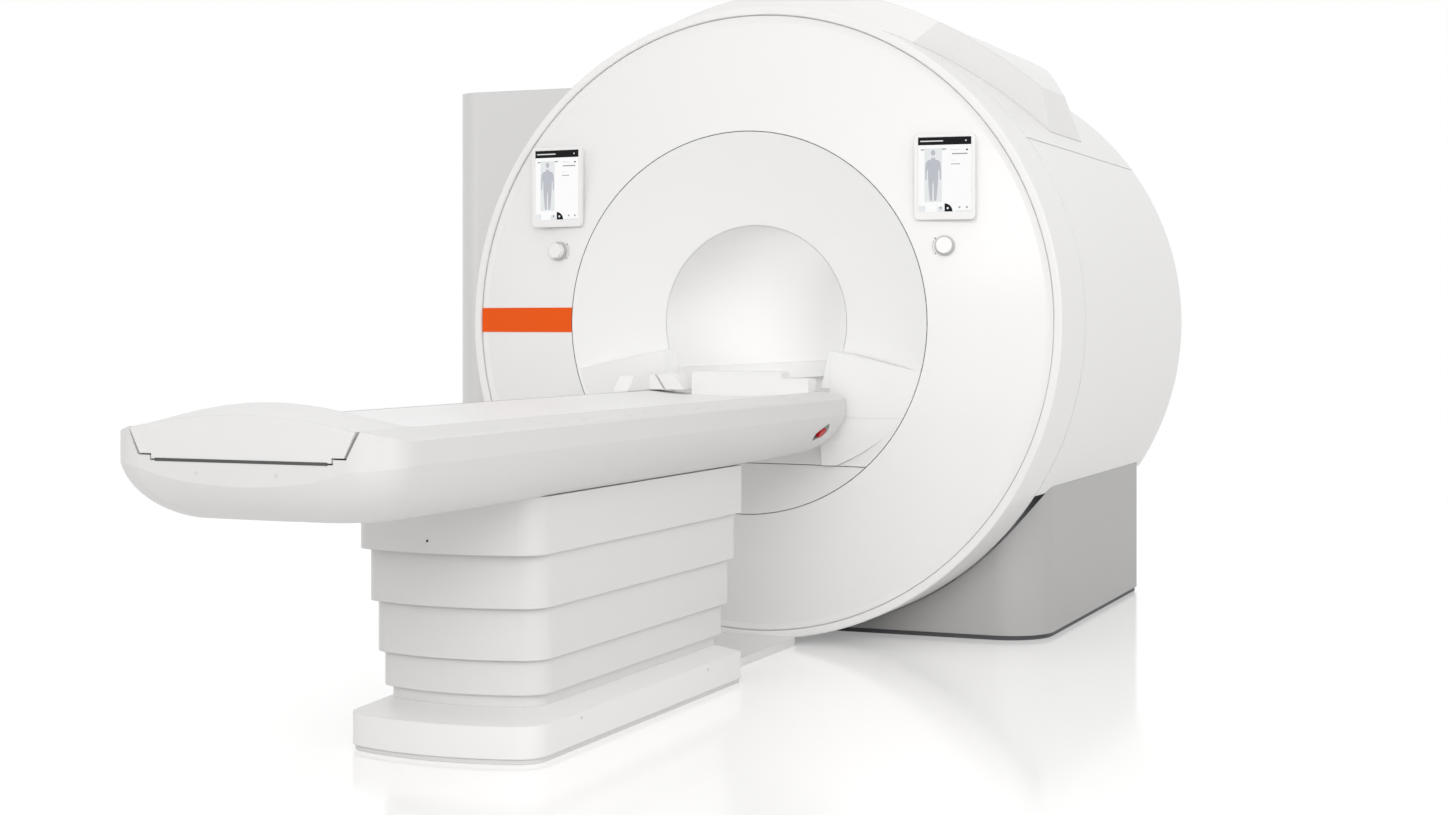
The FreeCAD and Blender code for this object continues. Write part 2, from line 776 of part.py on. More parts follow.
def build_magnet():
    bore_tube_outer = dim.warm_bore_radius + dim.vessel_wall
    shell_inner = dim.vessel_radius - dim.vessel_wall
    node("vessel_shell", tube(
        "vessel_outer", dim.vessel_radius, shell_inner, dim.vessel_front, vessel_length))
    node("vessel_bore_tube", tube(
        "vessel_bore", bore_tube_outer, dim.warm_bore_radius, dim.vessel_front, vessel_length))
    node("vessel_end_front", tube(
        "vessel_front_plate", shell_inner, bore_tube_outer, dim.vessel_front, dim.vessel_plate))
    node("vessel_end_rear", tube(
        "vessel_rear_plate", shell_inner, bore_tube_outer, frame_rear, dim.vessel_plate))

    former_start = dim.vessel_front + dim.vessel_plate
    former_end = frame_rear
    middle = (former_start + former_end) / 2
    outline = [(former_start, dim.former_radius - dim.former_wall), (former_start, dim.former_radius)]
    for shift in WINDING_SHARES:
        start = middle + vessel_length * shift - dim.winding_width / 2
        outline += [(start, dim.former_radius), (start, dim.winding_radius),
                    (start + dim.winding_width, dim.winding_radius),
                    (start + dim.winding_width, dim.former_radius)]
    outline += [(former_end, dim.former_radius), (former_end, dim.former_radius - dim.former_wall)]
    node("magnet_windings", turned("windings", outline))

    for name, start in (("cover_frame_front", frame_front), ("cover_frame_rear", frame_rear)):
        node(name, tube(name + "_ring", cover_inner, dim.vessel_radius, start, dim.frame_plate))

    saddle_top = dim.axis_height - dim.vessel_radius / 2
    vessel_bottom = dim.axis_height - dim.vessel_radius
    plates = []
    for name, start in (("front", dim.vessel_front + dim.stand_plate * 2),
                        ("rear", vessel_rear - dim.stand_plate * 3)):
        plates.append(box("stand_plate_" + name, -dim.stand_half_width, dim.stand_half_width,
                          start, start + dim.stand_plate, 0, saddle_top))
    beams = []
    for side, name in ((1, "right"), (-1, "left")):
        left = -dim.stand_half_width if side < 0 else dim.stand_half_width - dim.stand_plate
        beams.append(box("stand_beam_" + name, left, left + dim.stand_plate,
                         dim.vessel_front + dim.stand_plate * 2, vessel_rear - dim.stand_plate * 2,
                         0, vessel_bottom / 2))
    node("magnet_stand", cut("stand", fuse("stand", *(plates + beams)),
                             drum_bulk("vessel_bulk", dim.vessel_radius)))


# ---------------------------------------------------------------- side, top and rear covers


def cover_profile():
    edge = dim.rear_edge_radius
    start = dim.drum_depth + dim.drum_seam_gap
    return [
        (start, cover_inner),
        (start, dim.cover_radius),
        (dim.housing_depth - edge, dim.cover_radius),
        (dim.housing_depth, dim.cover_radius - edge, edge, -1),
        (dim.housing_depth - dim.cover_wall, dim.cover_radius - edge),
        (dim.housing_depth - edge, cover_inner, edge - dim.cover_wall, 1),
    ]


def build_covers():
    seam_half_angle = math.degrees(float(dim.side_seam_gap) / float(dim.cover_radius)) / 2
    node("top_cover", turned("top_shell", cover_profile(), (dim.seam_angle - seam_half_angle) * 2))
    side_span = dim.skirt_angle - dim.seam_angle - seam_half_angle
    lean = float(dim.seam_angle) + seam_half_angle + float(side_span) / 2
    node("side_cover_right", turned("right_shell", cover_profile(), side_span, lean))
    node("side_cover_left", turned("left_shell", cover_profile(), side_span, -lean))

    rim = dim.cover_radius - dim.rear_edge_radius - dim.seam_gap
    flare = dim.rear_flare_reach
    inner = dim.bore_radius + flare + dim.seam_gap
    plate_front = dim.housing_depth - dim.cover_wall
    rim_front = frame_rear + dim.frame_plate
    quarters = [turned("rear_quarter_%d" % index, [
        (plate_front, inner),
        (dim.housing_depth, inner),
        (dim.housing_depth, rim),
        (rim_front, rim),
        (rim_front, rim - dim.cover_wall),
        (plate_front, rim - dim.cover_wall),
    ], 90 - dim.rear_seam_angle, 45 + 90 * index) for index in range(4)]
    node("rear_cover", fuse("rear_disc", *quarters))
    flange_front = plate_front - dim.cover_wall
    back_radius = dim.rear_flare_radius - dim.cover_wall * 3
    node("rear_funnel", turned("rear_flare", [
        (bore_rear, dim.bore_radius),
        (dim.housing_depth, dim.bore_radius + flare, dim.rear_flare_radius, 1),
        (plate_front, dim.bore_radius + flare),
        (plate_front, inner + dim.cover_wall * 2),
        (flange_front, inner + dim.cover_wall * 2),
        (flange_front, dim.bore_radius + flare - dim.cover_wall * 3),
        (bore_rear, dim.bore_radius + dim.liner_wall, back_radius, -1),
    ]))


def half_space(point, normal):
    """A block that fills the side of a plane that its normal points to."""
    reach = float(dim.housing_depth) * 2
    block = Part.makeBox(reach, reach, reach, Vector(-reach / 2, -reach / 2, 0))
    block.Placement = FreeCAD.Placement(
        point, FreeCAD.Rotation(Vector(0, 0, 1), normal)).multiply(block.Placement)
    return block


def fairing_body(inset):
    """The raised hood on the top cover, inset on every face. Its front flares back to the full width."""
    low_radius = float(dim.cover_radius) - (float(dim.fairing_wall) if inset else 0)
    full_radius = float(dim.fairing_radius) - inset
    height = float(dim.axis_height)
    front = float(dim.fairing_front) + inset
    crest = front + float(dim.fairing_front_lean)
    rear = float(dim.housing_depth - dim.fairing_rear_space) - inset
    shoulder = rear - float(dim.fairing_rear_run)
    profile = Part.Wire([
        Part.LineSegment(Vector(0, front, low_radius), Vector(0, crest, full_radius)).toShape(),
        Part.LineSegment(Vector(0, crest, full_radius), Vector(0, shoulder, full_radius)).toShape(),
        Part.Arc(Vector(0, shoulder, full_radius),
                 Vector(0, (shoulder + 2 * rear) / 3, (full_radius * 2 + low_radius) / 3),
                 Vector(0, rear, low_radius)).toShape(),
        Part.LineSegment(Vector(0, rear, low_radius), Vector(0, front, low_radius)).toShape(),
    ])
    hood = Part.Face(profile).revolve(Vector(0, 0, 0), Vector(0, 1, 0), 180)
    hood.rotate(Vector(0, 0, 0), Vector(0, 1, 0), -90)
    hood.translate(Vector(0, 0, height))

    width = float(dim.fairing_half_width) - inset
    low = height + low_radius / 2
    wide = Part.makeBox(width * 2, rear - front, float(dim.fairing_radius), Vector(-width, front, low))
    corner = math.radians(float(dim.fairing_front_angle))
    corner_radius = float(dim.cover_radius)
    lean = math.radians(float(dim.fairing_flare_angle))
    slope = float(dim.fairing_flare_slope)
    base_height = height + math.sqrt(float(dim.cover_radius) ** 2 - float(dim.fairing_half_width) ** 2)
    for side in (1, -1):
        for point, normal in (
                (Vector(corner_radius * math.sin(corner), float(dim.fairing_front),
                        height + corner_radius * math.cos(corner)),
                 Vector(slope * math.cos(lean) * side, -1, -slope * math.sin(lean))),
                (Vector(float(dim.fairing_half_width), float(dim.fairing_taper_start), base_height),
                 Vector(float(dim.fairing_taper_side) * side, 1, float(dim.fairing_taper_up)))):
            anchor = Vector(point.x * side, point.y, point.z)
            wide = wide.cut(half_space(anchor - normal.normalize() * inset, normal))
    return hood.common(wide)


def build_fairing():
    fairing = doc.addObject("Part::Feature", "fairing")
    shell = fairing_body(0).cut(fairing_body(float(dim.fairing_wall)))
    fairing.Shape = shell.removeSplitter()
    node("top_fairing", fairing)


# ---------------------------------------------------------------- pedestal and service column


def build_pedestal():
    wall = dim.cover_wall
    half = dim.pedestal_half_width
    front, rear = dim.pedestal_front, dim.housing_depth - dim.pedestal_rear_space
    bend, back = dim.pedestal_corner_radius, dim.pedestal_rear_radius
    bend_in, back_in = bend - wall, back - wall
    middle = dim.seam_gap / 2
    bulk = drum_bulk("cover_bulk", dim.cover_radius)
    panel_top = dim.axis_height - dim.cover_radius / 4

    def strip(inset, middle):
        """Half of the pedestal's wall in plan, set in from its outer face."""
        outer = half - inset
        return [
            (middle, front + inset), (outer - bend, front + inset),
            (outer, front + inset + bend, bend, 1),
            (outer, rear - inset - back),
            (outer - back, rear - inset, back, 1),
            (middle, rear - inset),
            (middle, rear - inset - wall),
            (outer - back, rear - inset - wall),
            (outer - wall, rear - inset - back, back_in, -1),
            (outer - wall, front + inset + bend),
            (outer - bend, front + inset + wall, bend_in, -1),
            (middle, front + inset + wall),
        ]

    right = cut("pedestal", pad("pedestal_panel", "XY_Plane", [strip(size(0), middle)],
                                dim.plinth_height, panel_top - dim.plinth_height), bulk)
    node("pedestal_right", right)
    node("pedestal_left", mirrored("pedestal", right))
    sole = pad("plinth_panel", "XY_Plane", [strip(dim.plinth_inset / 2, size(0))], 0,
               dim.plinth_height)
    node("plinth", fuse("plinth", sole, mirrored("plinth", sole)))


def build_column():
    def plan(inset):
        """The column in plan, round at its two outer corners."""
        outer = inset - dim.column_outer_side
        inner = dim.column_width - dim.column_outer_side - inset
        front = dim.column_front + inset
        rear = dim.column_front + dim.column_depth - inset
        corner = dim.column_corner_radius - inset
        return [
            (inner, front), (inner, rear), (outer + corner, rear),
            (outer, rear - corner, corner, 1),
            (outer, front + corner),
            (outer + corner, front, corner, 1),
        ]

    foot = dim.plinth_height
    outside = cut("column_outside", pad("column_cover", "XY_Plane", [plan(size(0))], foot,
                                        dim.column_height - foot),
                  drum_bulk("column_cradle", dim.cover_radius))
    inside = cut("column_inside", pad("column_space", "XY_Plane", [plan(dim.cover_wall)], foot / 2,
                                      dim.column_height - foot / 2 - dim.cover_wall),
                 drum_bulk("column_back", dim.cover_radius + dim.cover_wall))
    node("service_column", cut("column", outside, inside))
    node("column_plinth", pad("column_foot", "XY_Plane", [plan(dim.plinth_inset / 3)], 0, foot))


# ---------------------------------------------------------------- displays, knobs and stop buttons


def disc_bulk():
    """Everything behind the face of the front disc."""
    return turned("disc_bulk", [
        (0, disc_radius), (0, disc_flat_radius),
        (-dim.disc_rise, disc_inner_radius, dim.disc_crown_radius, 1),
        (dim.disc_rise, disc_inner_radius), (dim.disc_rise, disc_radius),
    ])


def display_place(side):
    """The middle of a display's back: upright, and turned a little outwards."""
    turn = math.radians(float(dim.display_turn)) * side
    outward = Vector(math.sin(turn), -math.cos(turn), 0)
    face = Vector(side * float(dim.display_side), -float(dim.display_face_depth),
                  float(dim.display_centre_height))
    upright = Vector(0, 0, 1)
    return FreeCAD.Placement(face - outward * float(dim.display_thickness), FreeCAD.Rotation(
        upright.cross(outward), upright, outward, "ZXY"))


def build_controls():
    bulk = disc_bulk()
    wide, tall = dim.display_width / 2, dim.display_height / 2
    glass_wide, glass_tall = dim.screen_width / 2, dim.screen_height / 2
    low, high = dim.screen_shift - glass_tall, dim.screen_shift + glass_tall
    for side, name in ((1, "right"), (-1, "left")):
        place = display_place(side)
        slab = pad("display_slab_" + name, "XY_Plane", [
            rounded(-wide, wide, -tall, tall, dim.display_corner_radius)],
            0, dim.display_thickness)
        recess = slab.newObject("Sketcher::SketchObject", "screen_sketch_" + name)
        plane = [item for item in slab.Origin.OriginFeatures if item.Role == "XY_Plane"][0]
        recess.AttachmentSupport = (plane, [""])
        recess.MapMode = "FlatFace"
        recess.setExpression("AttachmentOffset.Base.z", dim.display_thickness.text)
        add_outline(recess, rectangle(-glass_wide, glass_wide, low, high))
        pocket = slab.newObject("PartDesign::Pocket", "screen_pocket_" + name)
        pocket.Profile = recess
        pocket.setExpression("Length", dim.screen_recess.text)
        boss = pad("display_boss_" + name, "XY_Plane", [rectangle(
            -glass_wide, glass_wide, low, high)], -dim.disc_rise, dim.disc_rise)
        glass_start = dim.display_thickness - dim.screen_recess
        gap = dim.running_gap
        glass = pad("screen_glass_" + name, "XY_Plane", [rectangle(
            gap - glass_wide, glass_wide - gap, low + gap, high - gap)], glass_start, dim.screen_glass)
        for item in (slab, boss, glass):
            lift = item.Placement.Base.z
            item.setExpression("Placement.Base.z", None)
            item.Placement = place.multiply(FreeCAD.Placement(Vector(0, 0, lift), FreeCAD.Rotation()))
        node("display_housing_" + name, cut("display_" + name, fuse("display_" + name, slab, boss), bulk))
        node("display_screen_" + name, glass)

        place = disc_place(side * float(dim.knob_side), float(dim.knob_centre_height))
        spindle = dim.knob_spindle_radius
        seat = pad("knob_seat_" + name, "XY_Plane", [
            ("circle", 0, 0, dim.knob_base_radius),
            ("circle", 0, 0, spindle + dim.running_gap)],
            -dim.knob_base_radius, dim.knob_base_radius + dim.knob_base_height)
        cap = pad("knob_cap_" + name, "XY_Plane", [("circle", 0, 0, dim.knob_radius)],
                  dim.knob_base_height + dim.running_gap, dim.knob_height)
        stem = pad("knob_stem_" + name, "XY_Plane", [("circle", 0, 0, spindle)],
                   dim.running_gap, dim.knob_base_height + dim.running_gap)
        for item in (seat, cap, stem):
            lift = item.Placement.Base.z
            item.setExpression("Placement.Base.z", None)
            item.Placement = place.multiply(FreeCAD.Placement(Vector(0, 0, lift), FreeCAD.Rotation()))
        node("knob_base_" + name, cut("knob_seat_" + name, seat, bulk))
        node("knob_" + name, fuse("knob_" + name, cap, stem))


# ---------------------------------------------------------------- patient table


def bowed_front(half, front, bow_radius, corner_radius):
    """Where the corner arc of a plan with a bowed front edge ends: its y on the side, and (x, y) on the
    bow."""
    centre = front + bow_radius
    reach = bow_radius - corner_radius
    inner = half - corner_radius
    corner_y = centre - root(reach * reach - inner * inner)
    return (corner_y, inner * bow_radius / reach,
            centre - (centre - corner_y) * bow_radius / reach)


belly_middle = dim.crease_height + root(
    dim.belly_side_radius * dim.belly_side_radius
    - (dim.table_half_width - dim.belly_centre_half_width)
    * (dim.table_half_width - dim.belly_centre_half_width))


def belly_side(height, inset):
    """How far the belly's round side reaches out at a height, from the middle of its arc."""
    radius = dim.belly_side_radius - inset
    rise = belly_middle - height
    return root(radius * radius - rise * rise)


def belly_form(name, inset):
    """The smooth belly under the crease, with a boat-like nose at the foot, up to over the rails."""
    low = dim.belly_height + inset
    top = dim.crease_height + dim.tabletop_clearance
    nose_centre = dim.table_foot + belly_side(dim.foot_chin, size(0))
    corner = dim.belly_corner_radius - inset
    rear = dim.table_tail + dim.skin
    sections = []
    for share in BELLY_SHARES:
        height = low + (top - low) * share
        reach = belly_side(height, inset)
        half = dim.belly_centre_half_width + reach
        corner_y, touch_x, touch_y = bowed_front(
            half, nose_centre - reach, dim.belly_nose_radius, corner)
        sections.append((height, [
            (half, corner_y, corner, 1), (half, rear), (-half, rear), (-half, corner_y),
            (-touch_x, touch_y, corner, 1), (touch_x, touch_y, dim.belly_nose_radius, 1),
        ]))
    over = dim.table_half_width + dim.skin * 4
    return fuse(name + "_belly", lofted(name + "_hull", sections), box(
        name + "_upper", -over, over, dim.table_foot - dim.skin * 4, rear, top,
        dim.rail_top + dim.skin))


def table_form(name, inset):
    """The outer form of the table body, or the same form inset for its hollow."""
    half = dim.table_half_width - inset
    belly = dim.belly_height + inset
    rail_inner = dim.tabletop_half_width + dim.tabletop_clearance
    bevel = dim.rail_bevel
    section = pad(name + "_section", "XZ_Plane", [[
        (-half, belly), (half, belly),
        (half, dim.rail_outer_top - bevel - inset),
        (half - bevel, dim.rail_outer_top - inset),
        (rail_inner, dim.rail_top - inset), (-rail_inner, dim.rail_top - inset),
        (bevel - half, dim.rail_outer_top - inset),
        (-half, dim.rail_outer_top - bevel - inset),
    ]], dim.table_foot, dim.table_tail - dim.table_foot)

    foot, tail = dim.table_foot + inset, dim.table_tail - inset
    corner = dim.table_corner_radius - inset
    plan = pad(name + "_plan", "XY_Plane", [[
        (half, foot + corner, corner, 1), (half, tail), (-half, tail),
        (-half, foot + corner), (corner - half, foot, corner, 1), (half - corner, foot),
    ]], belly, dim.rail_top - belly)

    tail_radius = dim.tail_curve_radius
    jaw = dim.tail_chin - dim.belly_height - dim.tail_rise
    tail_run = root(tail_radius * tail_radius - (tail_radius - jaw) * (tail_radius - jaw))
    side = pad(name + "_side", "YZ_Plane", [[
        (foot, dim.rail_top), (foot, belly),
        (tail - tail_run - dim.tail_run, belly),
        (tail - tail_run, belly + dim.tail_rise),
        (tail, dim.tail_chin, tail_radius, 1),
        (tail, dim.rail_top),
    ]], -half, half * 2)
    outer = common(name + "_form", common(name, section, plan), side)
    return common(name + "_shape", outer, belly_form(name, inset))


def build_tabletop():
    half = dim.tabletop_half_width
    top = dim.tabletop_top
    under = dim.tabletop_underside
    keel = dim.tabletop_keel_half_width
    step = under + (top - under) / 6
    waist = half - (top - step) / 2
    dish = dim.tabletop_dish
    dish_radius = (dish * dish + half * half) / (dish * 2)
    section = [
        (-keel, under), (keel, under), (keel, step), (waist, step), (half, top),
        (-half, top, dish_radius, -1), (-waist, step), (-keel, step),
    ]
    start = dim.table_foot + dim.cap_length
    board = pad("board", "XZ_Plane", [section], start, dim.table_tail - start)
    node("tabletop", board)

    wires = []
    cap_gap = dim.tabletop_clearance
    for place, crown in ((float(dim.table_foot), float(dim.cap_crown)),
                         (float(dim.table_foot + dim.cap_crest_run), float(dim.cap_crest)),
                         (float(start), -float(dish))):
        corners = [(-keel, under), (keel, under), (keel, step), (waist - cap_gap, step),
                   (half - cap_gap, top)]
        right = [Vector(float(u), place, float(v)) for u, v in corners]
        left = [Vector(-float(u), place, float(v)) for u, v in reversed(corners[2:])]
        edges = [Part.LineSegment(a, b).toShape() for a, b in zip(right, right[1:])]
        edges.append(Part.Arc(right[-1], Vector(0, place, float(top) + crown), left[0]).toShape())
        edges += [Part.LineSegment(a, b).toShape() for a, b in zip(left, left[1:] + [right[0]])]
        wires.append(Part.Wire(edges))
    cap = doc.addObject("Part::Feature", "end_cap")
    cap.Shape = Part.makeLoft(wires, True, False)
    node("tabletop_end_cap", cap)

    tail = dim.table_tail
    block_front = tail - dim.head_block_depth
    block_low = top - dish
    left, right = -dim.head_block_left, dim.head_block_right
    edge = dim.disc_wall
    block = pad("block", "XZ_Plane", [[
        (left, block_low - edge), (right, block_low - edge),
        (right, dim.head_block_height - edge * 4),
        (dim.head_block_step, dim.head_block_height - edge * 4),
        (dim.head_block_step, dim.head_block_height - edge),
        (dim.head_block_step - edge, dim.head_block_height),
        (left + edge * 3, dim.head_block_height),
        (left, dim.head_block_height - edge * 3, edge * 3, 1),
    ]], block_front, dim.head_block_depth)
    node("head_block", cut("head_block", block, board))


def build_table():
    grow = dim.tabletop_clearance
    half = dim.tabletop_half_width + grow
    top = dim.tabletop_top
    under = dim.tabletop_underside - grow
    keel = dim.tabletop_keel_half_width + grow
    step = dim.tabletop_underside + (top - dim.tabletop_underside) / 6 - grow
    waist = half - (top - step) / 2
    above = dim.rail_top * 2 - dim.crease_height
    length = dim.table_tail - dim.table_foot
    wall = dim.skin

    def trough(name, more, start, run):
        return pad(name, "XZ_Plane", [[
            (-keel - more, under - more), (keel + more, under - more),
            (keel + more, step - more), (waist + more, step - more),
            (half + more, top), (half + more, above),
            (-half - more, above), (-half - more, top),
            (-waist - more, step - more), (-keel - more, step - more),
        ]], start, run)

    form = table_form("table_outer", size(0))
    hollow = cut("hollow", table_form("table_inner", wall),
                 trough("trough_wall", wall, dim.table_foot, length))
    openings = []
    post = dim.lift_post_side / 2
    for name, station in (("front", dim.lift_post_front), ("rear", dim.lift_post_rear)):
        openings.append(box("post_opening_" + name, -post, post, station - post, station + post,
                            dim.belly_height - wall, dim.belly_height + wall * 2))
    cup_floor = -dim.stop_pocket_depth - dim.stop_wall
    pocket = stop_pad("stop_pocket", dim.stop_pocket_length, dim.stop_pocket_height,
                      cup_floor, dim.table_corner_radius)
    node("table_body", cut("table_body", form, trough(
        "trough_cut", size(0), dim.table_foot - wall, length + wall * 2), hollow,
        pocket, mirrored("stop_pocket", pocket), *openings))
    build_stops(form)
    build_socket(form)

    belly_inside = dim.belly_height + wall
    beam_top = under - wall
    beam_half = dim.table_beam_half_width
    beam_front = dim.lift_post_front - dim.lift_post_side * 3
    beam_rear = dim.table_tail - dim.tail_run - dim.tail_curve_radius
    beam_wall = dim.lift_post_wall
    beam = box("beam", -beam_half, beam_half, beam_front, beam_rear, belly_inside, beam_top)
    beam_hollow = box("beam_hollow", beam_wall - beam_half, beam_half - beam_wall, beam_front - wall,
                      beam_rear + wall, belly_inside + beam_wall, beam_top - beam_wall)
    node("table_beam", cut("beam", beam, beam_hollow))
    near = dim.rail_strip_inner
    strip = box("table_strip", near, near + dim.rail_strip_width, dim.table_foot + dim.cap_length / 2,
                dim.table_tail, under, dim.tabletop_underside - dim.running_gap)
    node("slide_strips", fuse("slide_strips", strip, mirrored("table_strip", strip)))


def build_socket(form):
    """The coil socket's cover: a ramp on the left rail, and a slotted block that reaches over the
    tabletop."""
    rail = dim.tabletop_half_width + dim.tabletop_clearance
    tail = dim.table_tail - dim.seam_gap * 4
    top = dim.socket_height
    front = tail - dim.socket_length
    ramp = pad("socket_ramp", "YZ_Plane", [[
        (front, dim.rail_outer_top), (tail, dim.rail_outer_top), (tail, top),
        (tail - dim.socket_block_depth, top), (front + dim.socket_ramp, top - dim.skin),
        (front, dim.rail_top + dim.tabletop_clearance),
    ]], -dim.socket_outer_side, dim.socket_outer_side - rail)
    over = dim.tabletop_top + dim.tabletop_clearance
    inner, lean = -dim.socket_inner_side, dim.socket_lean
    block = pad("socket_block", "XZ_Plane", [[
        (-rail, over), (inner, over), (inner - lean, top), (-rail, top)]],
        tail - dim.socket_block_depth, dim.socket_block_depth)
    slot_right = -dim.socket_slot_side
    slot_left = slot_right - dim.socket_slot_width
    groove = pad("socket_groove", "XZ_Plane", [[
        (slot_right, over), (slot_right - lean, top), (slot_left - lean, top), (slot_left, over)]],
        tail - dim.socket_block_depth, dim.skin * 2)
    node("coil_socket_cover", cut("socket", fuse("socket", ramp, block), form, groove))


def stop_pad(name, length, height, start, end, radius=None):
    """A slanted oval, or a round bar, along the outward direction of the right emergency stop."""
    outline = ("circle", 0, 0, radius) if radius is not None else slot(
        size(0), size(0), length, height, dim.stop_slant)
    piece = pad(name, "XY_Plane", [outline], start, end - start)
    reach = belly_side(dim.stop_height, size(0))
    outward = Vector(float(reach), 0, float(dim.stop_height - belly_middle)).normalize()
    along = Vector(0, 1, 0)
    surface = Vector(float(dim.belly_centre_half_width + reach), float(dim.stop_station),
                     float(dim.stop_height))
    piece.setExpression("Placement.Base.z", None)
    piece.Placement = FreeCAD.Placement(surface + outward * float(start), FreeCAD.Rotation(
        along, outward.cross(along), outward, "ZXY"))
    return piece


def build_stops(form):
    """An emergency stop in each flank: a shallow cup flush with the belly, and a button on a stem."""
    wall = dim.stop_wall
    floor = -dim.stop_pocket_depth
    beyond = dim.table_corner_radius
    head_back = floor + dim.stop_travel + dim.running_gap * 2
    cup = stop_pad("stop_cup", dim.stop_pocket_length, dim.stop_pocket_height, floor - wall, beyond)
    bowl = stop_pad("stop_bowl", dim.stop_pocket_length - wall * 2,
                    dim.stop_pocket_height - wall * 2, floor, beyond)
    hole = stop_pad("stop_hole", 0, 0, floor - wall * 2, floor + wall,
                    dim.stop_stem_radius + dim.running_gap)
    head = stop_pad("stop_head", dim.stop_button_length, dim.stop_button_height, head_back,
                    head_back + dim.stop_button_thickness)
    stem = stop_pad("stop_stem", 0, 0, floor - wall * 2, head_back, dim.stop_stem_radius)
    for name, piece in (("bezel", cut("stop_bezel", common("stop_cup", cup, form), bowl, hole)),
                        ("button", fuse("stop_button", head, stem))):
        node("stop_%s_right" % name, piece)
        node("stop_%s_left" % name, mirrored("stop_" + name, piece))


# ---------------------------------------------------------------- lift and base


def plan_outline(half, front, rear, bow, front_radius, rear_radius):
    """A plan with a bowed front edge, round front corners and tighter rear corners."""
    bow_radius = (half * half + bow * bow) / (bow * 2)
    corner_y, touch_x, touch_y = bowed_front(half, front, bow_radius, front_radius)
    return [
        (half, corner_y, front_radius, 1),
        (half, rear - rear_radius),
        (half - rear_radius, rear, rear_radius, 1),
        (rear_radius - half, rear),
        (-half, rear - rear_radius, rear_radius, 1),
        (-half, corner_y),
        (-touch_x, touch_y, front_radius, 1),
        (touch_x, touch_y, bow_radius, 1),
    ]


def post_squares(name, outer, low, high):
    """Two square solids at the lift post stations."""
    squares = []
    for label, station in (("front", dim.lift_post_front), ("rear", dim.lift_post_rear)):
        squares.append(box("%s_%s" % (name, label), -outer, outer, station - outer, station + outer,
                           low, high))
    return squares


def neck_outline(inset):
    """The plan of the neck under the lowest lift cover, where the base's sloping top ends."""
    step_in = dim.tier_wall * 3 + inset
    return plan_outline(dim.tier_one_half_width - dim.tier_step * 3 - step_in,
                        dim.tier_four_front + step_in, dim.tier_four_rear - step_in, dim.tier_bow,
                        dim.tier_corner_radius - dim.tier_wall - inset,
                        dim.tier_rear_radius - dim.tier_wall - inset)


def build_lift():
    wall = dim.tier_wall
    posts = []
    outer = dim.lift_post_side / 2
    post_wall = dim.lift_post_wall
    lower = dim.base_plate + dim.tier_wall
    third = dim.lift_travel / 3
    spans = (
        (dim.base_plate, dim.tier_four_top + dim.base_plate),
        (lower + third, dim.tier_three_top),
        (lower + dim.lift_post_step + third * 2, dim.tier_two_top),
        (lower + dim.lift_post_step * 2 + third * 3, dim.belly_height + dim.skin),
    )
    sides = []
    for index, (low, high) in enumerate(spans):
        side = outer - (post_wall + dim.lift_post_gap) * index
        sides.append(side)
        bars = post_squares("post_%d" % index, side, low, high)
        holes = post_squares("post_hole_%d" % index, side - post_wall, low - wall, high + wall)
        posts.append(node("lift_stage_%d" % (index + 1),
                          fuse("lift_stage_%d" % index, *[
                              cut("post_%d_%d" % (index, k), bars[k], holes[k]) for k in range(2)])))

    tiers = (
        ("tier_1_cover", dim.tier_one_front, dim.tier_one_rear,
         dim.tier_one_bottom, dim.belly_height, None),
        ("tier_2_cover", dim.tier_two_front, dim.tier_two_rear,
         dim.tier_two_bottom, dim.tier_two_top, 2),
        ("tier_3_cover", dim.tier_three_front, dim.tier_three_rear,
         dim.tier_three_bottom, dim.tier_three_top, 1),
        ("tier_4_cover", dim.tier_four_front, dim.tier_four_rear,
         dim.tier_four_bottom, dim.tier_four_top, 0),
    )
    for index, (name, front, rear, low, high, post) in enumerate(tiers):
        half = dim.tier_one_half_width - dim.tier_step * index
        outline = plan_outline(half, front, rear, dim.tier_bow,
                               dim.tier_corner_radius, dim.tier_rear_radius)
        inside = plan_outline(half - wall, front + wall, rear - wall, dim.tier_bow,
                              dim.tier_corner_radius - wall, dim.tier_rear_radius - wall)
        skirt = pad(name + "_skirt", "XY_Plane", [outline, inside], low, high - low)
        if post is None:
            node(name, skirt)
            continue
        lid = cut(name + "_lid", pad(name + "_plate", "XY_Plane", [inside], high - wall, wall),
                  *post_squares(name + "_hole", sides[post], low, high + wall))
        if index < 3:
            node(name, fuse(name, skirt, lid))
            continue
        hollow = neck_outline(wall)
        foot = pad(name + "_neck", "XY_Plane", [neck_outline(0), hollow], dim.base_height,
                   low + wall - dim.base_height)
        rim = pad(name + "_rim", "XY_Plane", [inside, hollow], low, wall)
        node(name, fuse(name, skirt, lid, foot, rim))


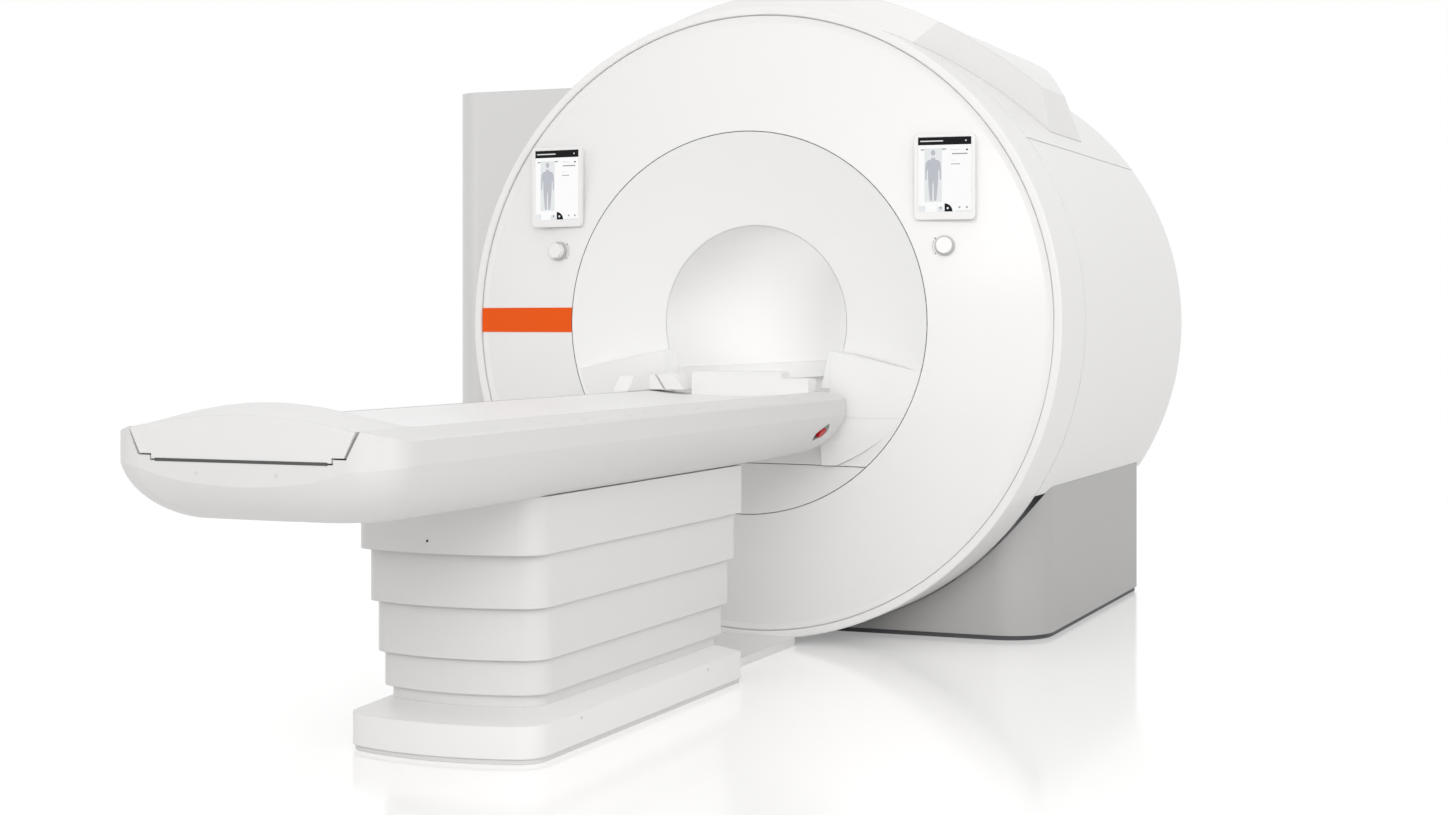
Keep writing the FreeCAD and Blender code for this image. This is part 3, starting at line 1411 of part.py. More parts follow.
def build_base():
    outline = plan_outline(dim.base_half_width, dim.base_front, dim.base_rear, dim.tier_bow,
                           dim.tier_corner_radius, dim.tier_rear_radius)
    wall = dim.tier_wall
    inside = plan_outline(dim.base_half_width - wall, dim.base_front + wall, dim.base_rear - wall,
                          dim.tier_bow, dim.tier_corner_radius - wall, dim.tier_rear_radius - wall)
    wall_top = dim.base_wall_top

    cover = fuse("base_cover", pad("base_wall", "XY_Plane", [outline], dim.base_plate,
                                   wall_top - dim.base_plate),
                 lofted("base_slope", [(wall_top, outline), (dim.base_height, neck_outline(0))]))
    hollow = fuse("base_hollow", pad("base_space", "XY_Plane", [inside], dim.base_plate - wall,
                                     wall_top - dim.base_plate),
                  lofted("base_space_slope", [(wall_top - wall, inside),
                                              (dim.base_height - wall, neck_outline(wall))]))
    holes = post_squares("base_hole", dim.lift_post_side / 2, dim.base_plate,
                         dim.base_height + wall)
    node("base_cover", cut("base", cover, hollow, *holes))
    middle = (dim.base_front + dim.base_rear) / 2
    anchors = [("circle", across * dim.anchor_across / 2, middle + along * dim.anchor_along / 2,
                dim.anchor_hole_radius) for across in (1, -1) for along in (1, -1)]
    node("base_plate", pad("base_sole", "XY_Plane", [inside] + anchors, 0, dim.base_plate))
    radius = dim.floor_link_radius
    half = dim.floor_link_half_width
    front, rear = dim.base_rear, -dim.rim_proud - dim.running_gap
    node("floor_link", pad("link", "XY_Plane", [[
        (-half, front), (half, front), (half, rear - radius), (half - radius, rear, radius, 1),
        (radius - half, rear), (-half, rear - radius, radius, 1),
    ]], 0, dim.floor_link_height))


# ---------------------------------------------------------------- document


def check_and_export():
    doc.recompute()
    failed = [item.Name for item in doc.Objects if "Invalid" in item.State or "Error" in item.State]
    if failed:
        raise RuntimeError("failed objects: %s" % ", ".join(failed))
    for name, item in nodes.items():
        if item.Shape.isNull() or not item.Shape.isValid() or not item.Shape.Solids:
            raise RuntimeError("bad shape: " + name)
    os.makedirs("parts", exist_ok=True)
    for name, item in nodes.items():
        item.Shape.exportStep(os.path.join("parts", name + ".step"))
    print("nodes", len(nodes), "volume", round(sum(n.Shape.Volume for n in nodes.values()) / 1e9, 4))


build_front()
build_funnel()
build_bore()
build_magnet()
build_covers()
build_fairing()
build_pedestal()
build_column()
build_controls()
build_tabletop()
build_table()
build_lift()
build_base()
check_and_export()
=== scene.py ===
"""MRI scanner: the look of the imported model, in metres, in the row frame.

+Y runs into the bore, +X is to the right of someone who faces it, and +Z is up.
"""

import json
import math

import bmesh
import bpy
from mathutils import Matrix, Vector


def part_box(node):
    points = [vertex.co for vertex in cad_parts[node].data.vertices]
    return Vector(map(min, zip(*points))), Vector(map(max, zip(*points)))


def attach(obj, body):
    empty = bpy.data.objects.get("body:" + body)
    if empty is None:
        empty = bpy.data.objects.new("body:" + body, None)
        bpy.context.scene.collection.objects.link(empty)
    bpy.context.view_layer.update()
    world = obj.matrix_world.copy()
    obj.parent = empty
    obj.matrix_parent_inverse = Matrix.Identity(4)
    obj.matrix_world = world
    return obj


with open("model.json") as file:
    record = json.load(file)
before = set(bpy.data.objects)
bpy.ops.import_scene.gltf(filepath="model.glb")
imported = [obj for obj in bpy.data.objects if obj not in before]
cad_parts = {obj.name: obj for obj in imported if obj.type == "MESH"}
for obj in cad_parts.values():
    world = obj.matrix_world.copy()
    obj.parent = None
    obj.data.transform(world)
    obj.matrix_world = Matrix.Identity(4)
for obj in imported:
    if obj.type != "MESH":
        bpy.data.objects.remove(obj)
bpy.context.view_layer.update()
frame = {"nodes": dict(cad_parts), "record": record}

node = frame["nodes"]

# ---------------------------------------------------------------- camera

IMAGE_WIDTH = 1448
IMAGE_HEIGHT = 815
FOCAL_PIXELS = 2139.3
HORIZON_PIXEL = 322.7
SENSOR_WIDTH = 36.0
CAMERA_PLACE = Vector((2.463, -6.128, 0.985))
CAMERA_YAW = math.radians(22.66)


def build_camera():
    """A level camera: the horizon lies off the picture's middle by a shift of the lens alone."""
    data = bpy.data.cameras.new("photo_camera")
    data.sensor_fit = "HORIZONTAL"
    data.sensor_width = SENSOR_WIDTH
    data.lens = FOCAL_PIXELS * SENSOR_WIDTH / IMAGE_WIDTH
    data.shift_y = (HORIZON_PIXEL - IMAGE_HEIGHT / 2) / IMAGE_WIDTH
    camera = bpy.data.objects.new("photo_camera", data)
    camera.location = CAMERA_PLACE
    camera.rotation_euler = (math.radians(90), 0, CAMERA_YAW)
    bpy.context.scene.collection.objects.link(camera)
    bpy.context.scene.camera = camera


# ---------------------------------------------------------------- materials

TONE_SCALE = 1.7
GLOSS_SPREAD = 0.08
RELIEF_STRENGTH = 0.25
COAT_ROUGHNESS = 0.12
PANEL_GRID_SCALE = 2500.0
PANEL_GRID_LOW = 0.985
PANEL_BLACK = (0.002, 0.002, 0.002, 1)
PANEL_ROUGHNESS = 0.25
PANEL_SPECULAR = 0.04


class Shader:
    """A small helper that adds and links the nodes of one material."""

    def __init__(self, name):
        self.material = bpy.data.materials.new(name)
        self.material.use_nodes = True
        self.tree = self.material.node_tree
        self.surface = self.tree.nodes["Principled BSDF"]

    def add(self, kind, **values):
        made = self.tree.nodes.new(kind)
        for key, value in values.items():
            if key in made.inputs:
                made.inputs[key].default_value = value
            else:
                setattr(made, key, value)
        return made

    def link(self, source, output, target, entry):
        self.tree.links.new(source.outputs[output], target.inputs[entry])

    def set(self, **values):
        for key, value in values.items():
            self.surface.inputs[key.replace("_", " ")].default_value = value

    def stretch(self, source, output, low, high):
        """Stretches a value from 0..1 to low..high."""
        made = self.add("ShaderNodeMapRange")
        made.inputs["To Min"].default_value = low
        made.inputs["To Max"].default_value = high
        self.link(source, output, made, "Value")
        return made

    def tint(self, colour, tone, entry):
        """Puts a colour times a tone into one socket of the surface."""
        made = self.add("ShaderNodeMix", data_type="RGBA", blend_type="MULTIPLY")
        made.inputs["Factor"].default_value = 1.0
        made.inputs["A"].default_value = (*colour, 1)
        self.link(tone, "Result", made, "B")
        self.link(made, "Result", self.surface, entry)

    def blend(self, factor, first, second):
        """A mix of the shaders of two nodes, by the socket that gives the factor."""
        made = self.add("ShaderNodeMixShader")
        for entry, socket in enumerate((factor, first.outputs[0], second.outputs[0])):
            self.tree.links.new(socket, made.inputs[entry])
        return made


def moulded(name, colour, roughness, grain_scale, grain_depth, tone=0.01, coat=0.0,
            metallic=0.0, edge=0.0025, specular=0.5):
    """Moulded or painted surface: soft edges, a fine grain, and a faint change of tone."""
    shader = Shader(name)
    place = shader.add("ShaderNodeTexCoord")
    slow = shader.add("ShaderNodeTexNoise", Scale=TONE_SCALE, Detail=2.0)
    shader.link(place, "Object", slow, "Vector")
    shader.tint(colour, shader.stretch(slow, "Fac", 1 - tone, 1 + tone / 2), "Base Color")

    fine = shader.add("ShaderNodeTexNoise", Scale=grain_scale, Detail=3.0)
    shader.link(place, "Object", fine, "Vector")
    gloss = shader.stretch(fine, "Fac", roughness * (1 - GLOSS_SPREAD),
                           roughness * (1 + GLOSS_SPREAD))
    shader.link(gloss, "Result", shader.surface, "Roughness")
    soft = shader.add("ShaderNodeBevel", samples=4, Radius=edge)
    relief = shader.add("ShaderNodeBump", Strength=RELIEF_STRENGTH, Distance=grain_depth)
    shader.link(fine, "Fac", relief, "Height")
    shader.link(soft, "Normal", relief, "Normal")
    shader.link(relief, "Normal", shader.surface, "Normal")
    shader.set(Metallic=metallic, Coat_Weight=coat, Coat_Roughness=COAT_ROUGHNESS,
               Specular_IOR_Level=specular)
    return shader.material


def lit_page(name, colour, strength=1.0):
    """A patch of a lit display: an even glow, with the faint dot grid of the panel."""
    shader = Shader(name)
    place = shader.add("ShaderNodeTexCoord")
    grid = shader.add("ShaderNodeTexChecker", Scale=PANEL_GRID_SCALE)
    shader.link(place, "Object", grid, "Vector")
    shader.tint(colour, shader.stretch(grid, "Fac", PANEL_GRID_LOW, 1.0), "Emission Color")
    shader.set(Base_Color=PANEL_BLACK, Roughness=PANEL_ROUGHNESS,
               Specular_IOR_Level=PANEL_SPECULAR, Emission_Strength=strength)
    return shader.material


def build_materials():
    return {
        "cover": moulded("cover_white", (0.875, 0.867, 0.858), 0.38, 900, 0.00006,
                         coat=0.15, edge=0.004),
        "bore": moulded("bore_white", (0.885, 0.88, 0.872), 0.45, 700, 0.00005, edge=0.002),
        "table": moulded("table_white", (0.7, 0.691, 0.684), 0.36, 900, 0.00006, coat=0.1),
        "board": moulded("board_white", (0.85, 0.845, 0.84), 0.42, 700, 0.00006,
                         coat=0.05, edge=0.0015),
        # tier_white is a darker white than the covers. It is partly the tiers' own white and partly
        # painted shade for the shadow under the table's overhang on the tiers' fronts. The end cap
        # and base plate share this tone.
        "tier": moulded("tier_white", (0.74, 0.732, 0.724), 0.38, 900, 0.00006, coat=0.1),
        "grey": moulded("cover_grey", (0.49, 0.485, 0.48), 0.5, 800, 0.00007, tone=0.015),
        "column": moulded("column_grey", (0.72, 0.715, 0.71), 0.3, 800, 0.00007,
                          tone=0.015, coat=0.3),
        "dark": moulded("plinth_dark", (0.08, 0.08, 0.085), 0.6, 500, 0.0001, tone=0.03),
        "stripe": moulded("stripe_orange", (0.88, 0.105, 0.006), 0.5, 600, 0.00003,
                          edge=0.0004, specular=0.12),
        "glass": lit_page("screen_page", (1.0, 1.0, 1.0), 0.97),
        "pocket": moulded("pocket_grey", (0.45, 0.48, 0.46), 0.5, 500, 0.00005,
                          tone=0.03, edge=0.001),
        "red": moulded("stop_red", (0.5, 0.006, 0.012), 0.4, 500, 0.00004,
                       tone=0.03, coat=0.05, specular=0.25),
        "slide": moulded("slide_plastic", (0.7, 0.7, 0.7), 0.5, 400, 0.00006, tone=0.03),
        "steel": moulded("vessel_steel", (0.6, 0.61, 0.62), 0.35, 200, 0.0001,
                         tone=0.05, metallic=1.0),
        "coil": moulded("coil_resin", (0.45, 0.3, 0.15), 0.5, 300, 0.0002, tone=0.1),
        "mark": moulded("print_grey", (0.25, 0.26, 0.27), 0.6, 600, 0.00002, edge=0.0002),
        # seam_shadow is painted shade: the dark tone for walls in seams and slots where only shadow
        # falls. The tier pin takes this dark tone too.
        "seam": moulded("seam_shadow", (0.1, 0.1, 0.1), 0.8, 500, 0.00002,
                        edge=0.0001, specular=0.1),
        # Painted shade: the knob bases are grey so that the shaded side wall of each knob shows as
        # a grey ring.
        "knob_shade": moulded("knob_painted_shade", (0.5, 0.5, 0.5), 0.4, 700, 0.00004, edge=0.0005),
        "screw": moulded("screw_cap", (0.66, 0.66, 0.66), 0.4, 700, 0.00004, edge=0.0003),
        "ink": lit_page("page_ink", (0.012, 0.012, 0.014)),
        "text": lit_page("page_text", (0.3, 0.31, 0.33)),
        "pale": lit_page("page_pale", (0.8, 0.82, 0.83)),
        "figure": lit_page("page_figure", (0.52, 0.53, 0.58)),
    }


NODE_LOOKS = {
    "grey": ("pedestal_left", "pedestal_right"),
    "column": ("service_column",),
    "dark": ("plinth", "column_plinth"),
    "stripe": ("accent_stripe",),
    "glass": ("display_screen_left", "display_screen_right"),
    "pocket": ("stop_bezel_left", "stop_bezel_right"),
    "red": ("stop_button_left", "stop_button_right"),
    # The knob bases carry the grey of painted shade.
    "knob_shade": ("knob_base_left", "knob_base_right"),
    "slide": ("bore_rails", "slide_strips"),
    "steel": ("vessel_shell", "vessel_bore_tube", "vessel_end_front", "vessel_end_rear",
              "magnet_stand", "cover_frame_front", "cover_frame_rear", "table_beam",
              "lift_stage_1", "lift_stage_2", "lift_stage_3", "lift_stage_4"),
    "coil": ("magnet_windings", "gradient_coil", "body_coil"),
    "bore": ("bore_liner", "bed_ledges", "front_funnel", "lower_panel", "table_surround",
             "rear_funnel"),
    "table": ("table_body",),
    "board": ("tabletop",),
    "tier": ("tier_1_cover", "tier_2_cover", "tier_3_cover", "tier_4_cover",
             "tabletop_end_cap", "base_plate"),
}
OTHER_NODES_LOOK = "cover"


def dress_nodes(looks):
    chosen = {name: look for look, names in NODE_LOOKS.items() for name in names}
    for name, item in node.items():
        item.data.materials.clear()
        item.data.materials.append(looks[chosen.get(name, OTHER_NODES_LOOK)])


AXIS_HEIGHT = 0.985
FACING = 0.8  # the least cosine between a wall's normal and the way it has to face
# The round seam around the funnel: the least and most distance of its walls from the axis,
# and for each node whether its wall there faces away from the axis (1) or towards it (-1).
SEAM_RING = (0.58, 0.589)
SEAM_RING_SIDES = {"front_cover": -1, "front_funnel": 1, "lower_panel": 1}
# The level seams: whether the node's wall faces up (1) or down (-1), and between which heights.
SEAM_FLATS = {"lower_panel": (1, 0.54, 0.6), "table_surround": (-1, 0.5, 0.56),
              "tabletop_end_cap": (-1, 0.7, 0.74)}


def shade_seams(look):
    """The narrow walls inside the open seams are painted dark as painted shade, so that each seam
    reads as a thin line.
    """
    for name in sorted({*SEAM_RING_SIDES, *SEAM_FLATS}):
        mesh = node[name].data
        mesh.materials.append(look)
        side = SEAM_RING_SIDES.get(name, 0)
        turn, low, high = SEAM_FLATS.get(name, (0, 0, 0))
        for face in mesh.polygons:
            spoke = Vector((face.center.x, 0, face.center.z - AXIS_HEIGHT))
            on_ring = SEAM_RING[0] < spoke.length < SEAM_RING[1]
            faces_out = face.normal.dot(spoke) * side > FACING * spoke.length
            on_flat = face.normal.z * turn > FACING and low < face.center.z < high
            if (side and on_ring and faces_out) or on_flat:
                face.material_index = 1


# ---------------------------------------------------------------- small pieces


def add_piece(name, mesh, body):
    piece = bpy.data.objects.new(name, mesh)
    bpy.context.scene.collection.objects.link(piece)
    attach(piece, body)


def aim(place, normal):
    """A frame at a place, with its Z along the normal and its Y as upright as that allows."""
    outward = Vector(normal).normalized()
    up = Vector((0, 0, 1)) if abs(outward.z) < 0.9 else Vector((0, 1, 0))
    across = up.cross(outward).normalized()
    turn = Matrix((across, outward.cross(across), outward)).transposed().to_4x4()
    return Matrix.Translation(place) @ turn


def lathe(profile, steps):
    """A closed solid turned from (radius, height) points, the first and last on the axis."""
    shape = bmesh.new()
    rings = []
    for radius, height in profile:
        if radius == 0:
            rings.append([shape.verts.new((0, 0, height))] * steps)
            continue
        angles = [2 * math.pi * step / steps for step in range(steps)]
        rings.append([shape.verts.new((radius * math.cos(angle), radius * math.sin(angle),
                                       height)) for angle in angles])
    for lower, upper in zip(rings, rings[1:]):
        for step in range(steps):
            following = (step + 1) % steps
            corners = []
            for corner in (lower[step], lower[following], upper[following], upper[step]):
                if corner not in corners:
                    corners.append(corner)
            shape.faces.new(corners)
    bmesh.ops.recalc_face_normals(shape, faces=shape.faces)
    return shape


def finished(shape, name, *materials):
    mesh = bpy.data.meshes.new(name)
    shape.to_mesh(mesh)
    shape.free()
    for material in materials:
        mesh.materials.append(material)
    return mesh


def lathe_at(places, profile, steps):
    """The same turned solid at each of the places, which are matrices, as one shape."""
    whole = bmesh.new()
    for place in places:
        single = lathe(profile, steps)
        bmesh.ops.transform(single, matrix=place, verts=single.verts)
        mesh = finished(single, "single")
        whole.from_mesh(mesh)
        bpy.data.meshes.remove(mesh)
    return whole


SCREW_RADIUS = 0.0045
SCREW_HEIGHT = 0.0012
SCREW_STEPS = 20
FOOT_SCREWS = ((-0.102, 0.691), (0.085, 0.691))  # x and z on the table's foot end
TIER_PIN = (-0.018, 0.492)  # x and z on the front of the uppermost tier
TIER_PIN_RADIUS = 0.003
BASE_SCREW_STATIONS = (-1.682, -0.936)
BASE_SCREW_LEVEL = 0.07


def screw_caps(name, spots, body, look, radius=SCREW_RADIUS):
    """Flush caps with a small key recess, one at each (place, normal)."""
    height = SCREW_HEIGHT
    profile = [(0, height * 0.1), (radius * 0.35, height * 0.1), (radius * 0.4, height * 0.9),
               (radius * 0.8, height), (radius, height * 0.3), (radius, -height * 2),
               (0, -height * 2)]
    shape = lathe_at([aim(Vector(place), normal) for place, normal in spots],
                     profile, SCREW_STEPS)
    add_piece(name, finished(shape, name, look), body)


def build_screws(looks):
    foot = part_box("table_body")[0].y
    tier_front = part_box("tier_1_cover")[0].y
    base_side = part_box("base_cover")[1].x
    screw_caps("table_foot_screws", [((x, foot, z), (0, -1, 0)) for x, z in FOOT_SCREWS],
               "carriage", looks["screw"])
    screw_caps("tier_pin", [((TIER_PIN[0], tier_front, TIER_PIN[1]), (0, -1, 0))],
               "carriage", looks["seam"], TIER_PIN_RADIUS)
    screw_caps("base_screws",
               [((sign * base_side, station, BASE_SCREW_LEVEL), (sign, 0, 0))
                for sign in (1, -1) for station in BASE_SCREW_STATIONS],
               "gantry_and_base", looks["screw"])


# Painted shadow: a dark sheet set in the slot under the end cap, where there is only shade.
FOOT_SLOT_SHADOW_WIDTH = 0.4
FOOT_SLOT_SHADOW_DEPTH = 0.0008
FOOT_SLOT_SHADOW_LOW = 0.7125
FOOT_SLOT_SHADOW_HIGH = 0.7188


def build_foot_slot_shadow(looks):
    """A thin dark strip of painted shadow on the table's foot end, over the slot under the
    tabletop's end cap.
    """
    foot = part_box("table_body")[0].y
    size = (FOOT_SLOT_SHADOW_WIDTH, FOOT_SLOT_SHADOW_DEPTH, FOOT_SLOT_SHADOW_HIGH - FOOT_SLOT_SHADOW_LOW)
    middle = (0, foot - FOOT_SLOT_SHADOW_DEPTH / 2, (FOOT_SLOT_SHADOW_LOW + FOOT_SLOT_SHADOW_HIGH) / 2)
    shape = bmesh.new()
    bmesh.ops.create_cube(shape, size=1)
    bmesh.ops.scale(shape, vec=size, verts=shape.verts)
    bmesh.ops.translate(shape, vec=middle, verts=shape.verts)
    add_piece("foot_slot_shadow", finished(shape, "foot_slot_shadow", looks["seam"]), "carriage")


# The rails' tops slope from their inner edge down to their outer edge.
RAIL_INNER = Vector((0.268, 0, 0.779))
RAIL_OUTER = Vector((0.329, 0, 0.763))
RAIL_NORMAL = (0.25, 0.97)
RAIL_MARK_STATIONS = (-2.208, -1.97, -1.795, -1.568, -1.465, -1.138, -1.004, -0.441)
RAIL_MARK_ACROSS = 0.7  # from the inner edge, 0, to the outer edge, 1
RAIL_MARK_LENGTHENED = 2.2
RAIL_MARK_PROFILE = ((0, -0.0008), (0.004, -0.0008), (0.005, 0.0004), (0.0065, 0.0004),
                     (0.007, -0.002), (0, -0.002))
RAIL_MARK_STEPS = 18


def build_rail_marks(looks):
    """Little oval dimples in the tops of both side rails, where accessories clip in."""
    middle = RAIL_INNER.lerp(RAIL_OUTER, RAIL_MARK_ACROSS)
    oval_shape = Matrix.Diagonal((1, RAIL_MARK_LENGTHENED, 1, 1))
    out, up = RAIL_NORMAL
    places = [aim(Vector((sign * middle.x, station, middle.z)), (sign * out, 0, up)) @ oval_shape
              for sign in (1, -1) for station in RAIL_MARK_STATIONS]
    shape = lathe_at(places, RAIL_MARK_PROFILE, RAIL_MARK_STEPS)
    add_piece("rail_marks", finished(shape, "rail_marks", looks["screw"]), "carriage")


# ---------------------------------------------------------------- display pages


def screen_frame(name):
    """The lower left corner of a screen's glass, and its across and up edges, from its CAD face."""
    mesh = node[name].data
    front = min(mesh.polygons, key=lambda face: face.normal.y - face.area)
    points = [mesh.vertices[index].co for face in mesh.polygons
              if (face.normal - front.normal).length < 0.01 for index in face.vertices]
    low = min(point.z for point in points)
    high = max(point.z for point in points)
    left = min(points, key=lambda point: point.x)
    right = max(points, key=lambda point: point.x)
    corner = Vector((left.x, left.y, low))
    return corner, Vector((right.x - left.x, right.y - left.y, 0)), Vector((0, 0, high - low))


def bar(left, low, right, high):
    return [(left, low), (right, low), (right, high), (left, high)]


def oval(u, v, width, height, steps=24):
    return [(u + width / 2 * math.cos(2 * math.pi * k / steps),
             v + height / 2 * math.sin(2 * math.pi * k / steps)) for k in range(steps)]


def wedge(u, v, width, height, steps=10):
    """A quarter round tab that stands on its base line."""
    return [(u, v)] + [(u + width * math.sin(math.pi / 2 * k / steps),
                        v + height * math.cos(math.pi / 2 * k / steps))
                       for k in range(steps, -1, -1)]


def figure(u, v, width, height):
    """A plain standing outline of a person, half of it given and the other half mirrored."""
    half = [(0.0, 0.83), (0.1, 0.84), (0.14, 0.8), (0.34, 0.785), (0.46, 0.74), (0.5, 0.6),
            (0.5, 0.42), (0.42, 0.41), (0.4, 0.58), (0.34, 0.62), (0.32, 0.45), (0.28, 0.25),
            (0.2, 0.02), (0.06, 0.0), (0.04, 0.3), (0.0, 0.4)]
    outline = half + [(-x, y) for x, y in reversed(half[1:-1])]
    return [(u + x * width, v + y * height) for x, y in outline]


# Patches of the page, each over the ones before it, in parts of the glass's width and height.
PAGE = (
    ("ink", bar(0.0, 0.895, 1.0, 1.0)),
    ("pale", bar(0.04, 0.94, 0.47, 0.955)),
    ("pale", oval(0.9, 0.948, 0.03, 0.02)),
    ("pale", bar(0.12, 0.13, 0.45, 0.85)),
    ("figure", figure(0.285, 0.14, 0.3, 0.7)),
    ("figure", oval(0.285, 0.79, 0.085, 0.075)),
    ("text", bar(0.05, 0.825, 0.12, 0.84)),
    ("text", bar(0.45, 0.83, 0.53, 0.845)),
    ("pale", bar(0.62, 0.82, 0.78, 0.835)),
    ("ink", oval(0.92, 0.825, 0.035, 0.025)),
    ("text", bar(0.64, 0.765, 0.93, 0.78)),
    ("pale", bar(0.62, 0.68, 0.7, 0.69)),
    ("text", bar(0.62, 0.63, 0.79, 0.64)),
    ("pale", bar(0.01, 0.005, 0.14, 0.08)),
    ("pale", bar(0.36, 0.0, 0.48, 0.07)),
    ("text", oval(0.425, 0.05, 0.035, 0.028)),
    ("ink", wedge(0.5, 0.0, 0.15, 0.11)),
    ("pale", oval(0.56, 0.045, 0.04, 0.03)),
    ("text", oval(0.78, 0.055, 0.035, 0.028)),
    ("text", oval(0.92, 0.055, 0.035, 0.028)),
    ("pale", bar(0.7, 0.0, 1.0, 0.012)),
)
PAGE_LIFT = 0.0001
PATCH_LIFT = 0.4  # how far each patch lies above the one before it, in page lifts


def flip_towards(shape, outward):
    for face in shape.faces:
        face.normal_update()
        if face.normal.dot(outward) < 0:
            face.normal_flip()


def build_pages(looks):
    """The lit page of each display: a title bar, a standing figure, lines and a row of keys."""
    order = sorted({look for look, outline in PAGE})
    for side in ("left", "right"):
        corner, across, up = screen_frame("display_screen_" + side)
        outward = across.cross(up).normalized()
        shape = bmesh.new()
        for level, (look, outline) in enumerate(PAGE, start=1):
            lift = outward * PAGE_LIFT * (1 + level * PATCH_LIFT)
            face = shape.faces.new([shape.verts.new(corner + across * u + up * v + lift)
                                    for u, v in outline])
            face.material_index = order.index(look)
        bmesh.ops.recalc_face_normals(shape, faces=shape.faces)
        bmesh.ops.triangulate(shape, faces=[face for face in shape.faces if len(face.verts) > 4])
        flip_towards(shape, outward)
        mesh = finished(shape, "page_" + side, *(looks[look] for look in order))
        add_piece("page_" + side, mesh, "gantry_and_base")


KNOB_MARK_RADIUS = 0.036
KNOB_MARK_WIDTH = 0.0008
KNOB_MARK_LIFT = 0.0004
KNOB_ARC_DEGREES = 30
KNOB_ARC_STEPS = 16
KNOB_DOT_DEGREES = 38
KNOB_DOT_SIZE = 0.005
KNOB_DOT_STEPS = 16


def around_knob(sign, reach, degrees):
    turn = math.radians(degrees)
    return sign * reach * math.cos(turn), reach * math.sin(turn)


def build_knob_marks(looks):
    """A thin printed arc with a dot past each end, on the bore's side of each knob."""
    for side, sign in (("left", 1), ("right", -1)):
        joint = next(item for item in frame["record"]["behaviour"]["joints"]
                     if item["name"] == "knob_%s_turn" % side)
        axis = Vector(joint["axis"])
        outward = axis if axis.y < 0 else -axis
        place = aim(Vector(joint["pos_m"]) + outward * KNOB_MARK_LIFT, outward)
        shape = bmesh.new()
        for part in range(KNOB_ARC_STEPS):
            corners = []
            for rim, step in ((0, part), (1, part), (1, part + 1), (0, part + 1)):
                degrees = -KNOB_ARC_DEGREES + 2 * KNOB_ARC_DEGREES * step / KNOB_ARC_STEPS
                reach = KNOB_MARK_RADIUS + rim * KNOB_MARK_WIDTH
                corners.append(shape.verts.new((*around_knob(sign, reach, degrees), 0)))
            shape.faces.new(corners)
        for degrees in (KNOB_DOT_DEGREES, -KNOB_DOT_DEGREES):
            x, y = around_knob(sign, KNOB_MARK_RADIUS, degrees)
            shape.faces.new([shape.verts.new((x + u, y + v, 0)) for u, v
                             in oval(0, 0, KNOB_DOT_SIZE, KNOB_DOT_SIZE, KNOB_DOT_STEPS)])
        bmesh.ops.remove_doubles(shape, verts=shape.verts, dist=1e-6)
        bmesh.ops.transform(shape, matrix=place, verts=shape.verts)
        flip_towards(shape, outward)
        name = "knob_marks_" + side
        add_piece(name, finished(shape, name, looks["mark"]), "gantry_and_base")


# ---------------------------------------------------------------- floor, world and lamps

FLOOR_REACH = 60
FLOOR_CLEAR = 7.0
FLOOR_COLOUR = (0.82, 0.815, 0.81, 1)
FLOOR_ROUGHNESS = 0.12
FLOOR_GLOW = 0.22
WHITE = (1, 1, 1, 1)
WORLD_LIGHT = 0.72
WORLD_SEEN = 1.0


def seen_directly(tree):
    """1 for rays from the camera and for those mirrored or bent on their way from it."""
    ray = tree.nodes.new("ShaderNodeLightPath")
    seen = ray.outputs["Is Camera Ray"]
    for kind in ("Is Glossy Ray", "Is Transmission Ray"):
        either = tree.nodes.new("ShaderNodeMath")
        either.operation = "MAXIMUM"
        tree.links.new(seen, either.inputs[0])
        tree.links.new(ray.outputs[kind], either.inputs[1])
        seen = either.outputs[0]
    return seen


def build_floor():
    """A pale glossy floor. The camera sees it glow a little near the object, and white far off."""
    shader = Shader("floor_white")
    shader.set(Base_Color=FLOOR_COLOUR, Roughness=FLOOR_ROUGHNESS)
    glow = shader.add("ShaderNodeEmission", Color=WHITE, Strength=FLOOR_GLOW)
    far = shader.add("ShaderNodeEmission", Color=WHITE, Strength=1.0)
    near = shader.add("ShaderNodeAddShader")
    for entry, source in enumerate((shader.surface, glow)):
        shader.link(source, 0, near, entry)
    place = shader.add("ShaderNodeTexCoord")
    distance = shader.add("ShaderNodeVectorMath", operation="LENGTH")
    shader.link(place, "Object", distance, "Vector")
    fade = shader.add("ShaderNodeMapRange")
    fade.inputs["From Min"].default_value = FLOOR_CLEAR / 2
    fade.inputs["From Max"].default_value = FLOOR_CLEAR
    shader.link(distance, "Value", fade, "Value")
    in_view = shader.blend(fade.outputs["Result"], near, far)
    chosen = shader.blend(seen_directly(shader.tree), shader.surface, in_view)
    shader.link(chosen, 0, shader.tree.nodes["Material Output"], "Surface")

    mesh = bpy.data.meshes.new("floor")
    corners = bar(-FLOOR_REACH, -FLOOR_REACH, FLOOR_REACH, FLOOR_REACH)
    mesh.from_pydata([(x, y, 0) for x, y in corners], [], [(0, 1, 2, 3)])
    mesh.materials.append(shader.material)
    floor = bpy.data.objects.new("floor", mesh)
    bpy.context.scene.collection.objects.link(floor)


def build_world():
    """White all round, and dimmer as a lamp than as it is seen."""
    world = bpy.data.worlds.new("studio")
    bpy.context.scene.world = world
    world.use_nodes = True
    tree = world.node_tree
    tree.nodes.clear()
    strength = tree.nodes.new("ShaderNodeMapRange")
    strength.inputs["To Min"].default_value = WORLD_LIGHT
    strength.inputs["To Max"].default_value = WORLD_SEEN
    tree.links.new(seen_directly(tree), strength.inputs["Value"])
    light = tree.nodes.new("ShaderNodeBackground")
    light.inputs["Color"].default_value = WHITE
    tree.links.new(strength.outputs["Result"], light.inputs["Strength"])
    output = tree.nodes.new("ShaderNodeOutputWorld")
    tree.links.new(light.outputs[0], output.inputs[0])


